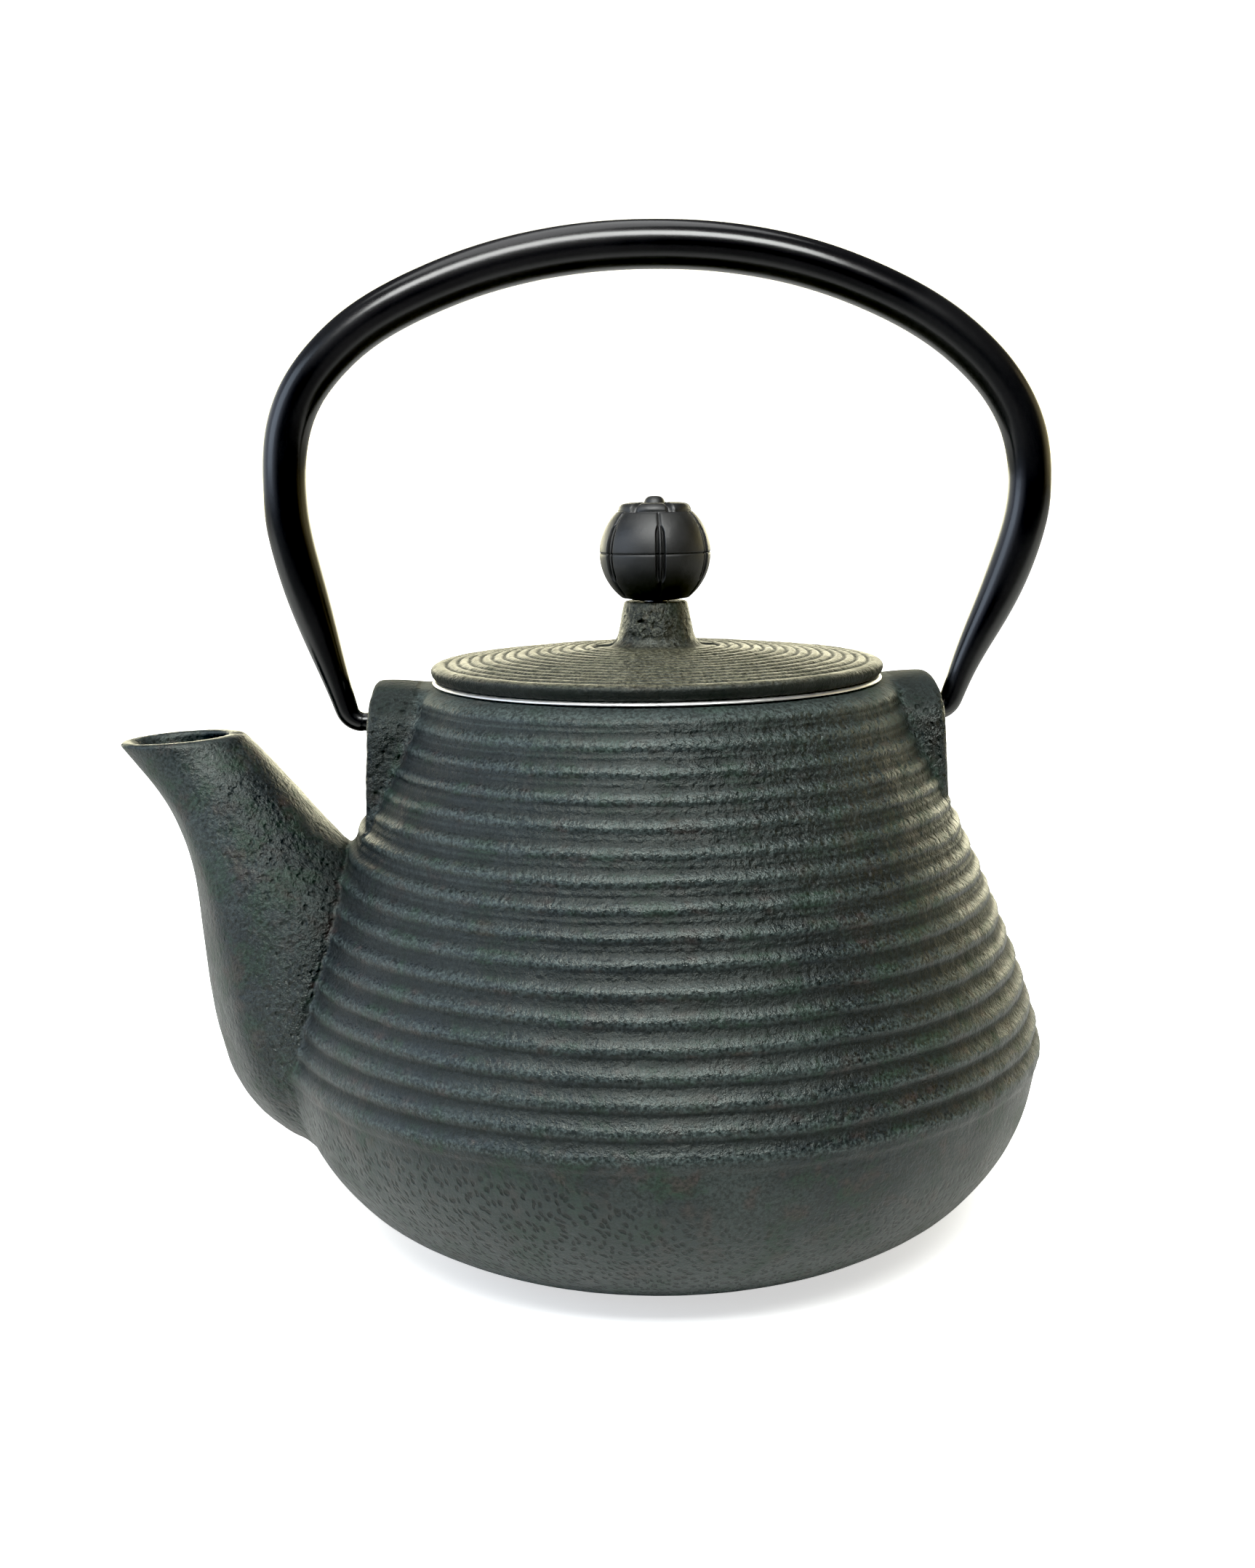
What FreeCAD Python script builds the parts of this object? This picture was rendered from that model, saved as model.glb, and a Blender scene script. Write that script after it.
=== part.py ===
import FreeCAD, Part
import os
import math
import Sketcher

# Teapot with a bail handle, a lid with a ball knob and a lift-out steel infuser.
# Frame: +Z up, origin on the pot's axis in the plane of its flat base.
# The spout points along -X, the two handle lugs lie on the X axis.
# All lengths in millimetres.

V = FreeCAD.Vector
doc = FreeCAD.newDocument("teapot")

# ---------------------------------------------------------------- sheet
sheet = doc.addObject("Spreadsheet::Sheet", "Dims")
DIMS = [
    # pot casting
    ("base_radius", 40.0), ("rib_pitch", 4.145), ("rib_low_z", 36.70),
    ("rib_depth", 0.62), ("rib_crest_half", 0.75), ("rib_groove_half", 0.55),
    ("mouth_z", 104.6), ("mouth_bore_radius", 37.5), ("mouth_flat_radius", 40.6),
    ("mouth_edge_radius", 43.9), ("wall", 3.2), ("floor_thick", 4.2),
    # lugs
    ("lug_width", 30.0), ("lug_arch", 9.5), ("lug_top_z", 105.2),
    ("lug_left_out", 53.3), ("lug_right_out", 52.1), ("lug_draft", 1.6),
    ("lug_foot_z", 74.0), ("lug_mouth_z", 103.2),
    # handle pivot
    ("pivot_z", 97.4), ("pin_radius", 1.80), ("pin_clear", 0.08),
    ("pivot_hole_end", 46.8), ("pin_end", 48.0),
    # spout
    ("lip_z", 95.25), ("lip_tilt", 3.0), ("port_radius", 10.5), ("port_z", 46.0),
    # handle
    ("bail_half_span", 69.6), ("bail_rise", 86.8), ("tube_radius", 4.42),
    ("tube_wall", 1.0),
    # lid
    ("lid_seat_z", 105.3), ("lid_radius", 42.6), ("lid_edge_z", 107.2),
    ("lid_ring_z", 108.2), ("lid_top_z", 111.0), ("lid_ridge", 0.28),
    ("boss_top_z", 119.3), ("boss_top_radius", 6.0), ("boss_foot_radius", 7.35),
    ("stem_bore_radius", 2.28), ("vent_offset", 9.6), ("vent_radius", 1.9),
    ("skirt_out", 34.6), ("skirt_in", 32.2), ("skirt_z", 101.4),
    ("lid_under_z", 107.2),
    # knob and its stem
    ("knob_z", 128.26), ("knob_radius", 10.42), ("knob_gap", 0.3),
    ("calyx_radius", 6.25), ("calyx_top_z", 137.5), ("nub_radius", 1.9),
    ("nub_top_z", 138.8), ("stem_radius", 2.20), ("stem_top_z", 131.0),
    ("washer_radius", 5.2), ("washer_thick", 1.0), ("head_radius", 4.0),
    ("head_height", 1.9), ("slot_width", 2.05), ("slot_ridge", 0.5),
    # infuser
    ("rim_radius", 42.0), ("rim_thick", 0.7), ("collar_out", 36.8),
    ("collar_in", 36.2), ("collar_z", 96.0), ("mesh_out", 36.12),
    ("mesh_in", 35.72), ("mesh_top_z", 100.4), ("cup_z", 47.0),
    ("cup_wall_z", 51.0), ("cup_out", 36.75), ("cup_in", 36.2),
    ("cup_lip_radius", 32.5), ("cup_floor", 0.6), ("floor_mesh_radius", 35.6),
    ("floor_mesh_thick", 0.4),
]
for row, (name, value) in enumerate(DIMS, start=1):
    sheet.set("A%d" % row, name)
    sheet.set("B%d" % row, repr(float(value)))
    sheet.setAlias("B%d" % row, name)
# crest radii of the seventeen ribs, lowest first
CREST = [72.47, 71.58, 70.39, 69.01, 67.56, 65.93, 64.37, 62.56, 60.85, 58.95,
         57.02, 55.06, 53.10, 51.15, 49.20, 47.25, 45.30]
CREST_NAMES = ["crest_" + chr(ord("a") + i) for i in range(len(CREST))]
for i, value in enumerate(CREST):
    row = len(DIMS) + 1 + i
    sheet.set("A%d" % row, CREST_NAMES[i])
    sheet.set("B%d" % row, repr(float(value)))
    sheet.setAlias("B%d" % row, CREST_NAMES[i])
doc.recompute()

ALIAS = dict(DIMS)
ALIAS.update(dict(zip(CREST_NAMES, CREST)))
WORDS = sorted(ALIAS, key=len, reverse=True)


def value_of(text):
    """Number of a linear expression written in the sheet's aliases."""
    total = 0.0
    for term in text.replace("-", "+-").split("+"):
        term = term.strip()
        if not term:
            continue
        sign = 1.0
        if term.startswith("-"):
            sign, term = -1.0, term[1:].strip()
        product = 1.0
        for factor in term.split("*"):
            factor = factor.strip()
            div = factor.split("/")
            number = ALIAS[div[0].strip()] if div[0].strip() in ALIAS else float(div[0])
            for d in div[1:]:
                number /= ALIAS[d.strip()] if d.strip() in ALIAS else float(d)
            product *= number
        total += sign * product
    return total


def bound(text):
    """The same expression with each alias written as a cell of the sheet."""
    out, i = "", 0
    while i < len(text):
        for w in WORDS:
            before_ok = i == 0 or not (text[i - 1].isalnum() or text[i - 1] in "_.")
            if text.startswith(w, i) and before_ok and not (
                    i + len(w) < len(text) and (text[i + len(w)].isalnum() or text[i + len(w)] == "_")):
                out += "Dims." + w
                i += len(w)
                break
        else:
            out += text[i]
            i += 1
    return out


def plane(body, role):
    for feature in body.Origin.OriginFeatures:
        if feature.Role == role:
            return feature
    raise RuntimeError(role)


def new_sketch(body, name, role):
    sk = body.newObject("Sketcher::SketchObject", name)
    sk.AttachmentSupport = [(plane(body, role), "")]
    sk.MapMode = "FlatFace"
    return sk


def closed_loop(sk, points):
    """Closed polyline; every vertex is dimensioned from the sketch origin."""
    xy = [V(value_of(a), value_of(b), 0) for a, b in points]
    first = sk.GeometryCount
    n = len(xy)
    for i in range(n):
        sk.addGeometry(Part.LineSegment(xy[i], xy[(i + 1) % n]), False)
    for i in range(n):
        sk.addConstraint(Sketcher.Constraint("Coincident", first + i, 2, first + (i + 1) % n, 1))
    for i, (a, b) in enumerate(points):
        for kind, text, val in (("DistanceX", a, xy[i].x), ("DistanceY", b, xy[i].y)):
            k = sk.addConstraint(Sketcher.Constraint(kind, -1, 1, first + i, 1, val))
            if any(w in text for w in WORDS):
                sk.setExpression("Constraints[%d]" % k, bound(text))


def circle(sk, cx, cy, radius):
    g = sk.addGeometry(Part.Circle(V(value_of(cx), value_of(cy), 0), V(0, 0, 1), value_of(radius)), False)
    k = sk.addConstraint(Sketcher.Constraint("DistanceX", -1, 1, g, 3, value_of(cx)))
    if any(w in cx for w in WORDS):
        sk.setExpression("Constraints[%d]" % k, bound(cx))
    sk.addConstraint(Sketcher.Constraint("DistanceY", -1, 1, g, 3, value_of(cy)))
    k = sk.addConstraint(Sketcher.Constraint("Radius", g, value_of(radius)))
    if any(w in radius for w in WORDS):
        sk.setExpression("Constraints[%d]" % k, bound(radius))


def turned(label, points):
    """Body made by turning a closed profile in the XZ plane about Z."""
    body = doc.addObject("PartDesign::Body", label)
    body.Label = label
    sk = new_sketch(body, label + "_profile", "XZ_Plane")
    closed_loop(sk, points)
    rev = body.newObject("PartDesign::Revolution", label + "_turn")
    rev.Profile = sk
    rev.ReferenceAxis = (sk, ["V_Axis"])
    rev.Angle = 360.0
    sk.Visibility = False
    doc.recompute()
    return body


def zline(i, shift=""):
    return "rib_low_z + %d*rib_pitch%s" % (i, shift)


# ---------------------------------------------------------------- pot casting
# outer form: flat base, round bowl, then seventeen turned ribs up to the mouth
outer = [("0", "0"), ("base_radius", "0"),
         ("45.6", "1.75"), ("49.6", "3.4"), ("53.1", "5.1"), ("55.9", "6.8"), ("58.3", "8.4"),
         ("60.4", "10.1"), ("62.1", "11.8"), ("63.5", "13.45"), ("64.8", "15.1"), ("66.0", "16.8"),
         ("68.0", "20.2"), ("69.5", "23.6"), ("70.6", "27.0"), ("71.3", "30.3"),
         ("71.75", "33.0"), ("crest_a - 0.8", "rib_low_z - rib_pitch/2")]
for i, crest in enumerate(CREST_NAMES):
    outer.append((crest, zline(i, " - rib_crest_half")))
    outer.append((crest, zline(i, " + rib_crest_half")) if i < 16 else (crest + " - 0.5", zline(i, " + rib_crest_half/2")))
    if i < 16:
        nxt = CREST_NAMES[i + 1]
        mid = "%s/2 + %s/2 - rib_depth" % (crest, nxt)
        outer.append((mid + " + 0.15", zline(i, " + rib_pitch/2 - rib_groove_half")))
        outer.append((mid + " - 0.15", zline(i, " + rib_pitch/2 + rib_groove_half")))
outer += [("mouth_edge_radius - 0.6", "mouth_z - 0.45"), ("mouth_flat_radius + 0.6", "mouth_z - 0.08"),
          ("mouth_flat_radius", "mouth_z"), ("0", "mouth_z")]
pot_outer = turned("pot_outer", outer)

cavity = [("0", "floor_thick"), ("38.0", "floor_thick"), ("45.5", "floor_thick + 1.2"),
          ("51.0", "floor_thick + 3.6"), ("55.5", "11.0"), ("59.8", "15.6"), ("63.6", "21.0"),
          ("66.2", "27.0"), ("67.5", "33.0"), ("68.0", "38.0"), ("66.4", "46.0"), ("63.6", "54.3"),
          ("60.5", "62.0"), ("57.1", "70.0"), ("53.4", "78.1"), ("49.5", "86.4"), ("45.6", "94.7"),
          ("43.0", "99.0"), ("mouth_bore_radius + 0.8", "101.4"), ("mouth_bore_radius", "102.4"),
          ("mouth_bore_radius", "mouth_z + 6"), ("0", "mouth_z + 6")]
pot_cavity = turned("pot_cavity", cavity)

# lugs: one bar with an arched section along X, trimmed by a side profile
bar = doc.addObject("PartDesign::Body", "lug_bar")
sk = new_sketch(bar, "lug_bar_section", "YZ_Plane")
arch = []
for k in range(13):
    a = math.radians(180.0 * k / 12)
    arch.append(("%.6f*lug_width" % (math.cos(a) / 2),
                 "lug_top_z - lug_arch + %.6f*lug_arch" % (math.sin(a) ** 0.85 if 0 < k < 12 else 0.0)))
arch += [("-0.5*lug_width", "lug_foot_z - 8"), ("0.5*lug_width", "lug_foot_z - 8")]
closed_loop(sk, [arch[-1]] + arch[:-1])
pad = bar.newObject("PartDesign::Pad", "lug_bar_pad")
pad.Profile = sk
if "SideType" in pad.PropertiesList:
    pad.SideType = "Symmetric"
else:
    pad.Midplane = True
pad.Length = 124.0
sk.Visibility = False
doc.recompute()

side = doc.addObject("PartDesign::Body", "lug_side")
sk = new_sketch(side, "lug_side_profile", "XZ_Plane")
closed_loop(sk, [
    ("-lug_left_out - lug_draft", "lug_foot_z"), ("lug_right_out + lug_draft", "lug_foot_z"),
    ("lug_right_out + 0.1", "lug_top_z - 1.0"), ("lug_right_out - 0.9", "lug_top_z"),
    ("lug_right_out - 3.0", "lug_top_z"), ("43.4", "lug_mouth_z"),
    ("-43.4", "lug_mouth_z"), ("-lug_left_out + 3.0", "lug_top_z - 0.3"),
    ("-lug_left_out + 0.9", "lug_top_z - 0.3"), ("-lug_left_out - 0.1", "lug_top_z - 1.3")])
pad = side.newObject("PartDesign::Pad", "lug_side_pad")
pad.Profile = sk
if "SideType" in pad.PropertiesList:
    pad.SideType = "Symmetric"
else:
    pad.Midplane = True
pad.Length = 40.0
sk.Visibility = False
doc.recompute()

lugs = doc.addObject("Part::MultiCommon", "lugs")
lugs.Shapes = [bar, side]
doc.recompute()


def section(name, z, x_out, x_in, half, tilt=None):
    """Horizontal oval of the spout between two X positions."""
    e = doc.addObject("Part::Ellipse", name)
    a = (x_in - x_out) / 2.0
    e.MajorRadius = max(a, half + 0.001)
    e.MinorRadius = half
    e.Placement = FreeCAD.Placement(V((x_in + x_out) / 2.0, 0, z), FreeCAD.Rotation(V(0, 1, 0), 0))
    if tilt is not None:
        e.setExpression("Placement.Base.z", bound("lip_z") + " + %.4f" % (z - ALIAS["lip_z"]))
        e.Placement = FreeCAD.Placement(V((x_in + x_out) / 2.0, 0, z),
                                        FreeCAD.Rotation(V(0, 1, 0), -ALIAS["lip_tilt"]))
        e.setExpression("Placement.Rotation.Angle", bound("lip_tilt"))
        e.Placement.Rotation.Axis = V(0, -1, 0)
    return e


# spout: z, front X, rear X, half width; the lowest ones lie inside the bowl
SPOUT = [(10.0, -52.0, -28.0, 8.0), (14.0, -63.5, -30.0, 11.5), (18.0, -72.3, -32.0, 15.5), (22.0, -77.4, -33.5, 19.0),
         (27.0, -81.3, -34.5, 22.3), (33.0, -84.0, -35.5, 24.8), (40.0, -85.6, -37.0, 25.9),
         (48.0, -86.8, -39.5, 25.0), (57.0, -87.6, -43.5, 23.0), (65.0, -88.2, -49.8, 20.8),
         (71.0, -89.0, -56.6, 18.2), (76.5, -90.5, -61.9, 15.6), (82.0, -92.8, -66.4, 13.2),
         (87.5, -96.2, -70.9, 11.3), (91.5, -99.3, -74.3, 10.2)]
CHANNEL = [(24.5, -74.5, -52.0, 11.0), (28.0, -78.0, -50.0, 16.0), (33.0, -80.8, -48.0, 20.0), (40.0, -82.5, -46.0, 22.0),
           (48.0, -83.7, -46.0, 21.4), (57.0, -84.5, -48.0, 19.6), (65.0, -85.1, -54.0, 17.4),
           (71.0, -85.9, -60.3, 15.0), (76.5, -87.4, -65.4, 12.6), (82.0, -89.8, -69.9, 10.4),
           (87.5, -93.2, -74.4, 8.7), (91.5, -96.4, -77.8, 7.7)]


def loft(name, sections, ruled=False):
    lo = doc.addObject("Part::Loft", name)
    lo.Sections = sections
    lo.Solid = True
    lo.Ruled = ruled
    lo.Closed = False
    doc.recompute()
    return lo


lip = [section("spout_lip", 95.25, -102.2, -77.8, 9.5, tilt=True)]
spout_outer = loft("spout_outer", [section("spout_s%02d" % i, *s) for i, s in enumerate(SPOUT)] + lip)
mouth = [section("channel_lip", 95.25, -99.9, -81.4, 7.15, tilt=True),
         section("channel_out", 98.25, -102.4, -83.6, 7.15, tilt=True)]
spout_bore = loft("spout_bore", [section("channel_s%02d" % i, *s) for i, s in enumerate(CHANNEL)] + mouth)

# the pot's own wall stays between the cavity and the spout; a round port pierces it
bore_cut = doc.addObject("Part::Cut", "bore_cut")
bore_cut.Base = spout_bore
bore_cut.Tool = pot_outer
port = doc.addObject("Part::Cylinder", "port")
port.setExpression("Radius", "Dims.port_radius")
port.Height = 24.0
port.Placement = FreeCAD.Placement(V(-79.0, 0, ALIAS["port_z"]), FreeCAD.Rotation(V(0, 1, 0), 90))
port.setExpression("Placement.Base.z", "Dims.port_z")
holes = []
for name, x0, direction in (("pivot_hole_left", -60.0, 1), ("pivot_hole_right", 60.0, -1)):
    c = doc.addObject("Part::Cylinder", name)
    c.setExpression("Radius", "Dims.pin_radius + Dims.pin_clear")
    c.setExpression("Height", "60 - Dims.pivot_hole_end")
    c.Placement = FreeCAD.Placement(V(x0, 0, ALIAS["pivot_z"]), FreeCAD.Rotation(V(0, 1, 0), 90 * direction))
    c.setExpression("Placement.Base.z", "Dims.pivot_z")
    holes.append(c)
doc.recompute()

pot_solid = doc.addObject("Part::MultiFuse", "pot_solid")
pot_solid.Shapes = [pot_outer, lugs, spout_outer]
doc.recompute()
pot_tools = doc.addObject("Part::MultiFuse", "pot_tools")
pot_tools.Shapes = [pot_cavity, bore_cut, port] + holes
doc.recompute()
pot_body = doc.addObject("Part::Cut", "pot_body")
pot_body.Label = "pot_body"
pot_body.Base = pot_solid
pot_body.Tool = pot_tools
doc.recompute()

# ---------------------------------------------------------------- bail handle
# centreline: X as a share of the half span, Z as a share of the rise above the
# pivot, tube radius as a share of the crown's; then a small elbow turns each
# end inwards into a plain pin that sits in the lug's hole
LEFT = [(-68.4, 140.2, 4.15), (-68.3, 146.1, 4.15), (-67.6, 151.3, 4.17), (-65.8, 156.4, 4.19),
        (-63.1, 160.8, 4.22), (-59.4, 165.0, 4.25), (-54.5, 169.3, 4.28), (-48.3, 173.1, 4.31),
        (-40.6, 176.6, 4.34), (-31.9, 179.75, 4.37), (-22.0, 182.2, 4.40), (-11.0, 183.75, 4.42)]
LEFT_DOWN = [(-68.0, 134.3, 4.15), (-66.8, 128.3, 4.12), (-65.3, 122.3, 4.0), (-63.7, 116.6, 3.62),
             (-62.2, 111.4, 3.12), (-60.7, 106.4, 2.62), (-59.5, 102.4, 2.3)]
RIGHT = [(70.6, 140.2, 4.15), (70.3, 145.6, 4.15), (69.1, 150.7, 4.17), (66.9, 155.4, 4.19),
         (63.8, 159.9, 4.22), (59.6, 164.3, 4.25), (54.4, 168.6, 4.28), (48.0, 172.6, 4.31),
         (40.3, 176.3, 4.34), (31.6, 179.6, 4.37), (22.0, 182.1, 4.40), (11.0, 183.7, 4.42)]
RIGHT_DOWN = [(70.0, 134.3, 4.15), (68.4, 128.3, 4.12), (66.2, 122.3, 4.0), (63.7, 116.6, 3.62),
              (61.1, 111.4, 3.12), (58.8, 106.4, 2.62), (57.3, 102.4, 2.3)]


def elbow(side_sign, start, count=7):
    """Centres and radii of the rings round the inward bend, then the pin."""
    zp = ALIAS["pivot_z"]
    x0, z0, r0 = start
    prev = LEFT_DOWN[-2] if side_sign < 0 else RIGHT_DOWN[-2]
    d = V(x0 - prev[0], 0, z0 - prev[1]).normalize()
    t = (z0 - zp) / -d.z
    corner = V(x0 + d.x * t, 0, zp)
    turn = math.acos(max(-1, min(1, d.dot(V(-side_sign, 0, 0)))))
    bend = 3.3
    tl = bend * math.tan(turn / 2)
    a0 = corner - d * tl
    inward = V(-side_sign, 0, 0)
    normal = (inward - d * inward.dot(d)).normalize()
    centre = a0 + normal * bend
    out = []
    for k in range(count + 1):
        ang = turn * k / count
        p = centre - normal * (bend * math.cos(ang)) + d * (bend * math.sin(ang))
        out.append((p.x, p.z, 2.15 + (ALIAS["pin_radius"] - 2.15) * k / count))
    return out


left_elbow = elbow(-1, LEFT_DOWN[-1])
right_elbow = elbow(1, RIGHT_DOWN[-1])
pin_left = [(-53.9, ALIAS["pivot_z"], ALIAS["pin_radius"]), (-ALIAS["pin_end"], ALIAS["pivot_z"], ALIAS["pin_radius"])]
pin_right = [(51.6, ALIAS["pivot_z"], ALIAS["pin_radius"]), (ALIAS["pin_end"], ALIAS["pivot_z"], ALIAS["pin_radius"])]
path = (pin_left[::-1] + left_elbow[::-1] + LEFT_DOWN[::-1] + LEFT + [(0.0, 184.15, 4.42)]
        + RIGHT[::-1] + RIGHT_DOWN + right_elbow + pin_right)


def ring_set(prefix, pts, shrink=None):
    rings = []
    n = len(pts)
    for i, (x, z, r) in enumerate(pts):
        a = pts[max(i - 1, 0)]
        b = pts[min(i + 1, n - 1)]
        if i == 0 or i == n - 1:
            t = V(b[0] - a[0], 0, b[1] - a[1]).normalize()
        else:
            u = V(x - a[0], 0, z - a[1])
            w = V(b[0] - x, 0, b[1] - z)
            lu, lw = u.Length, w.Length
            t = (u * (lw / lu) + w * (lu / lw)).normalize()
        c = doc.addObject("Part::Circle", "%s_%02d" % (prefix, i))
        share = r / ALIAS["tube_radius"]
        if abs(r - ALIAS["pin_radius"]) < 1e-6:
            c.setExpression("Radius", "Dims.pin_radius")
        elif shrink:
            c.setExpression("Radius", "Dims.tube_radius*%.5f - Dims.tube_wall" % share)
        else:
            c.setExpression("Radius", "Dims.tube_radius*%.5f" % share)
        # the ring's normal follows the centreline; Y stays its own second axis
        angle = math.degrees(math.atan2(t.x, t.z))
        c.Placement = FreeCAD.Placement(V(x, 0, z), FreeCAD.Rotation(V(0, 1, 0), angle))
        c.setExpression("Placement.Base.x", "Dims.bail_half_span*%.6f" % (x / ALIAS["bail_half_span"]))
        c.setExpression("Placement.Base.z", "Dims.pivot_z + Dims.bail_rise*%.6f"
                        % ((z - ALIAS["pivot_z"]) / ALIAS["bail_rise"]))
        rings.append(c)
    return rings


bail_outer = loft("bail_outer", ring_set("bail_ring", path), ruled=True)
hollow_path = LEFT_DOWN[-3::-1] + LEFT + [(0.0, 184.15, 4.42)] + RIGHT[::-1] + RIGHT_DOWN[:-2]
bail_inner = loft("bail_inner", ring_set("bail_hollow", hollow_path, shrink=True), ruled=True)
handle = doc.addObject("Part::Cut", "handle")
handle.Label = "handle"
handle.Base = bail_outer
handle.Tool = bail_inner
doc.recompute()

# ---------------------------------------------------------------- lid
lid_pts = [("stem_bore_radius", "lid_under_z"), ("8.0", "lid_under_z"), ("skirt_in", "lid_under_z - 0.9"), ("skirt_in", "skirt_z"),
           ("skirt_out", "skirt_z"), ("skirt_out", "lid_seat_z"), ("lid_radius - 2.2", "lid_seat_z"),
           ("lid_radius - 0.9", "lid_seat_z + 0.35"), ("lid_radius - 0.15", "lid_seat_z + 1.1"),
           ("lid_radius", "lid_edge_z"), ("lid_radius - 0.35", "lid_edge_z + 0.6"),
           ("lid_radius - 1.2", "lid_ring_z - 0.1"), ("lid_radius - 1.9", "lid_ring_z")]
RIDGES = 14
for i in range(RIDGES):
    r_out = 40.7 - i * 2.15
    for r_here, up in ((r_out - 0.75, 0), (r_out - 1.4, 0), (r_out - 2.15, 1)):
        share = (40.7 - r_here) / (40.7 - 10.6)
        rise = 1.0 - (1.0 - share) ** 1.35
        lid_pts.append(("%.3f" % r_here,
                        "lid_ring_z - %.5f*lid_ring_z + %.5f*lid_top_z%s" % (rise, rise, "" if up else " - lid_ridge")))
lid_pts += [("boss_foot_radius + 1.7", "lid_top_z + 0.05"), ("boss_foot_radius + 0.6", "lid_top_z + 0.5"),
            ("boss_foot_radius", "lid_top_z + 1.5"), ("boss_top_radius", "boss_top_z - 0.3"),
            ("boss_top_radius - 0.3", "boss_top_z"), ("stem_bore_radius", "boss_top_z")]
lid = turned("lid", lid_pts)
sk = new_sketch(lid, "lid_vents", "XY_Plane")
circle(sk, "vent_offset", "0", "vent_radius")
circle(sk, "-vent_offset", "0", "vent_radius")
before = lid.Shape.Volume
cut = lid.newObject("PartDesign::Pocket", "lid_vent_holes")
cut.Profile = sk
cut.Type = "Length"
cut.Length = 113.5
cut.Reversed = True
sk.Visibility = False
doc.recompute()
if not before - lid.Shape.Volume > 20.0:
    raise RuntimeError("vent holes cut nothing")

# ---------------------------------------------------------------- knob
kz, kr = ALIAS["knob_z"], ALIAS["knob_radius"]
knob_pts = [("0", "boss_top_z + knob_gap"), ("4.8", "boss_top_z + knob_gap")]
for deg in (-54, -46, -38, -30, -22, -15, -8, -2):
    knob_pts.append(("%.6f*knob_radius" % math.cos(math.radians(deg)),
                     "knob_z + %.6f*knob_radius" % math.sin(math.radians(deg))))
knob_pts.append(("knob_radius - 0.25", "knob_z"))
for deg in (2, 8, 15, 22, 30, 38, 46, 52):
    knob_pts.append(("%.6f*knob_radius" % math.cos(math.radians(deg)),
                     "knob_z + %.6f*knob_radius" % math.sin(math.radians(deg))))
knob_pts += [("calyx_radius", "calyx_top_z - 0.7"), ("calyx_radius - 0.5", "calyx_top_z - 0.1"),
             ("calyx_radius - 1.2", "calyx_top_z"), ("nub_radius + 0.6", "calyx_top_z - 0.1"),
             ("nub_radius", "calyx_top_z + 0.15"), ("nub_radius - 0.45", "nub_top_z - 0.35"),
             ("nub_radius - 1.1", "nub_top_z"), ("0", "nub_top_z")]
knob = turned("knob", knob_pts)
# blind bore for the stem
sk = new_sketch(knob, "knob_bore", "XY_Plane")
circle(sk, "0", "0", "stem_radius")
before = knob.Shape.Volume
cut = knob.newObject("PartDesign::Pocket", "knob_bore_cut")
cut.Profile = sk
cut.Type = "Length"
cut.setExpression("Length", "Dims.stem_top_z + 0.4")
cut.Reversed = True
sk.Visibility = False
doc.recompute()
if not before - knob.Shape.Volume > 50.0:
    raise RuntimeError("knob bore cut nothing")
# six meridian slots, each with a thin rib left standing in it
sk = new_sketch(knob, "knob_slot_profile", "YZ_Plane")
lens = []
for deg in (-27, -18, -8, 2, 12, 22, 33):
    depth = 1.15 * (1.0 - ((deg - 3) / 31.0) ** 2) ** 0.5 if abs(deg - 3) < 30 else 0.02
    lens.append(("%.6f*knob_radius" % (math.cos(math.radians(deg)) * (kr - depth) / kr),
                 "knob_z + %.6f*knob_radius" % (math.sin(math.radians(deg)) * (kr - depth) / kr)))
closed_loop(sk, lens + [("1.25*knob_radius", "knob_z + 0.75*knob_radius"), ("1.25*knob_radius", "knob_z - 0.65*knob_radius")])
slot = knob.newObject("PartDesign::Pocket", "knob_slot")
slot.Profile = sk
slot.Type = "Length"
slot.setExpression("Length", "Dims.slot_width")
if "SideType" in slot.PropertiesList:
    slot.SideType = "Symmetric"
else:
    slot.Midplane = True
sk.Visibility = False
doc.recompute()
before = knob.Shape.Volume
pat = knob.newObject("PartDesign::PolarPattern", "knob_slots")
pat.Originals = [slot]
pat.Axis = (sk, ["V_Axis"])
pat.Angle = 360.0
pat.Occurrences = 6
knob.Tip = pat
doc.recompute()
if not before - knob.Shape.Volume > 1.0:
    raise RuntimeError("slot pattern cut nothing")
sk = new_sketch(knob, "knob_rib_profile", "YZ_Plane")
rib = []
for deg in (-30, -20, -10, 0, 10, 20, 28, 35):
    rib.append(("%.6f*knob_radius" % (math.cos(math.radians(deg)) * 0.998),
                "knob_z + %.6f*knob_radius" % (math.sin(math.radians(deg)) * 0.998)))
closed_loop(sk, rib + [("0.6*knob_radius", "knob_z + 0.5*knob_radius"), ("0.6*knob_radius", "knob_z - 0.45*knob_radius")])
ribpad = knob.newObject("PartDesign::Pad", "knob_rib")
ribpad.Profile = sk
ribpad.setExpression("Length", "Dims.slot_ridge")
if "SideType" in ribpad.PropertiesList:
    ribpad.SideType = "Symmetric"
else:
    ribpad.Midplane = True
sk.Visibility = False
doc.recompute()
before = knob.Shape.Volume
pat2 = knob.newObject("PartDesign::PolarPattern", "knob_ribs")
pat2.Originals = [ribpad]
pat2.Axis = (sk, ["V_Axis"])
pat2.Angle = 360.0
pat2.Occurrences = 6
knob.Tip = pat2
doc.recompute()
if not knob.Shape.Volume - before > 0.1:
    raise RuntimeError("rib pattern added nothing")

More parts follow.
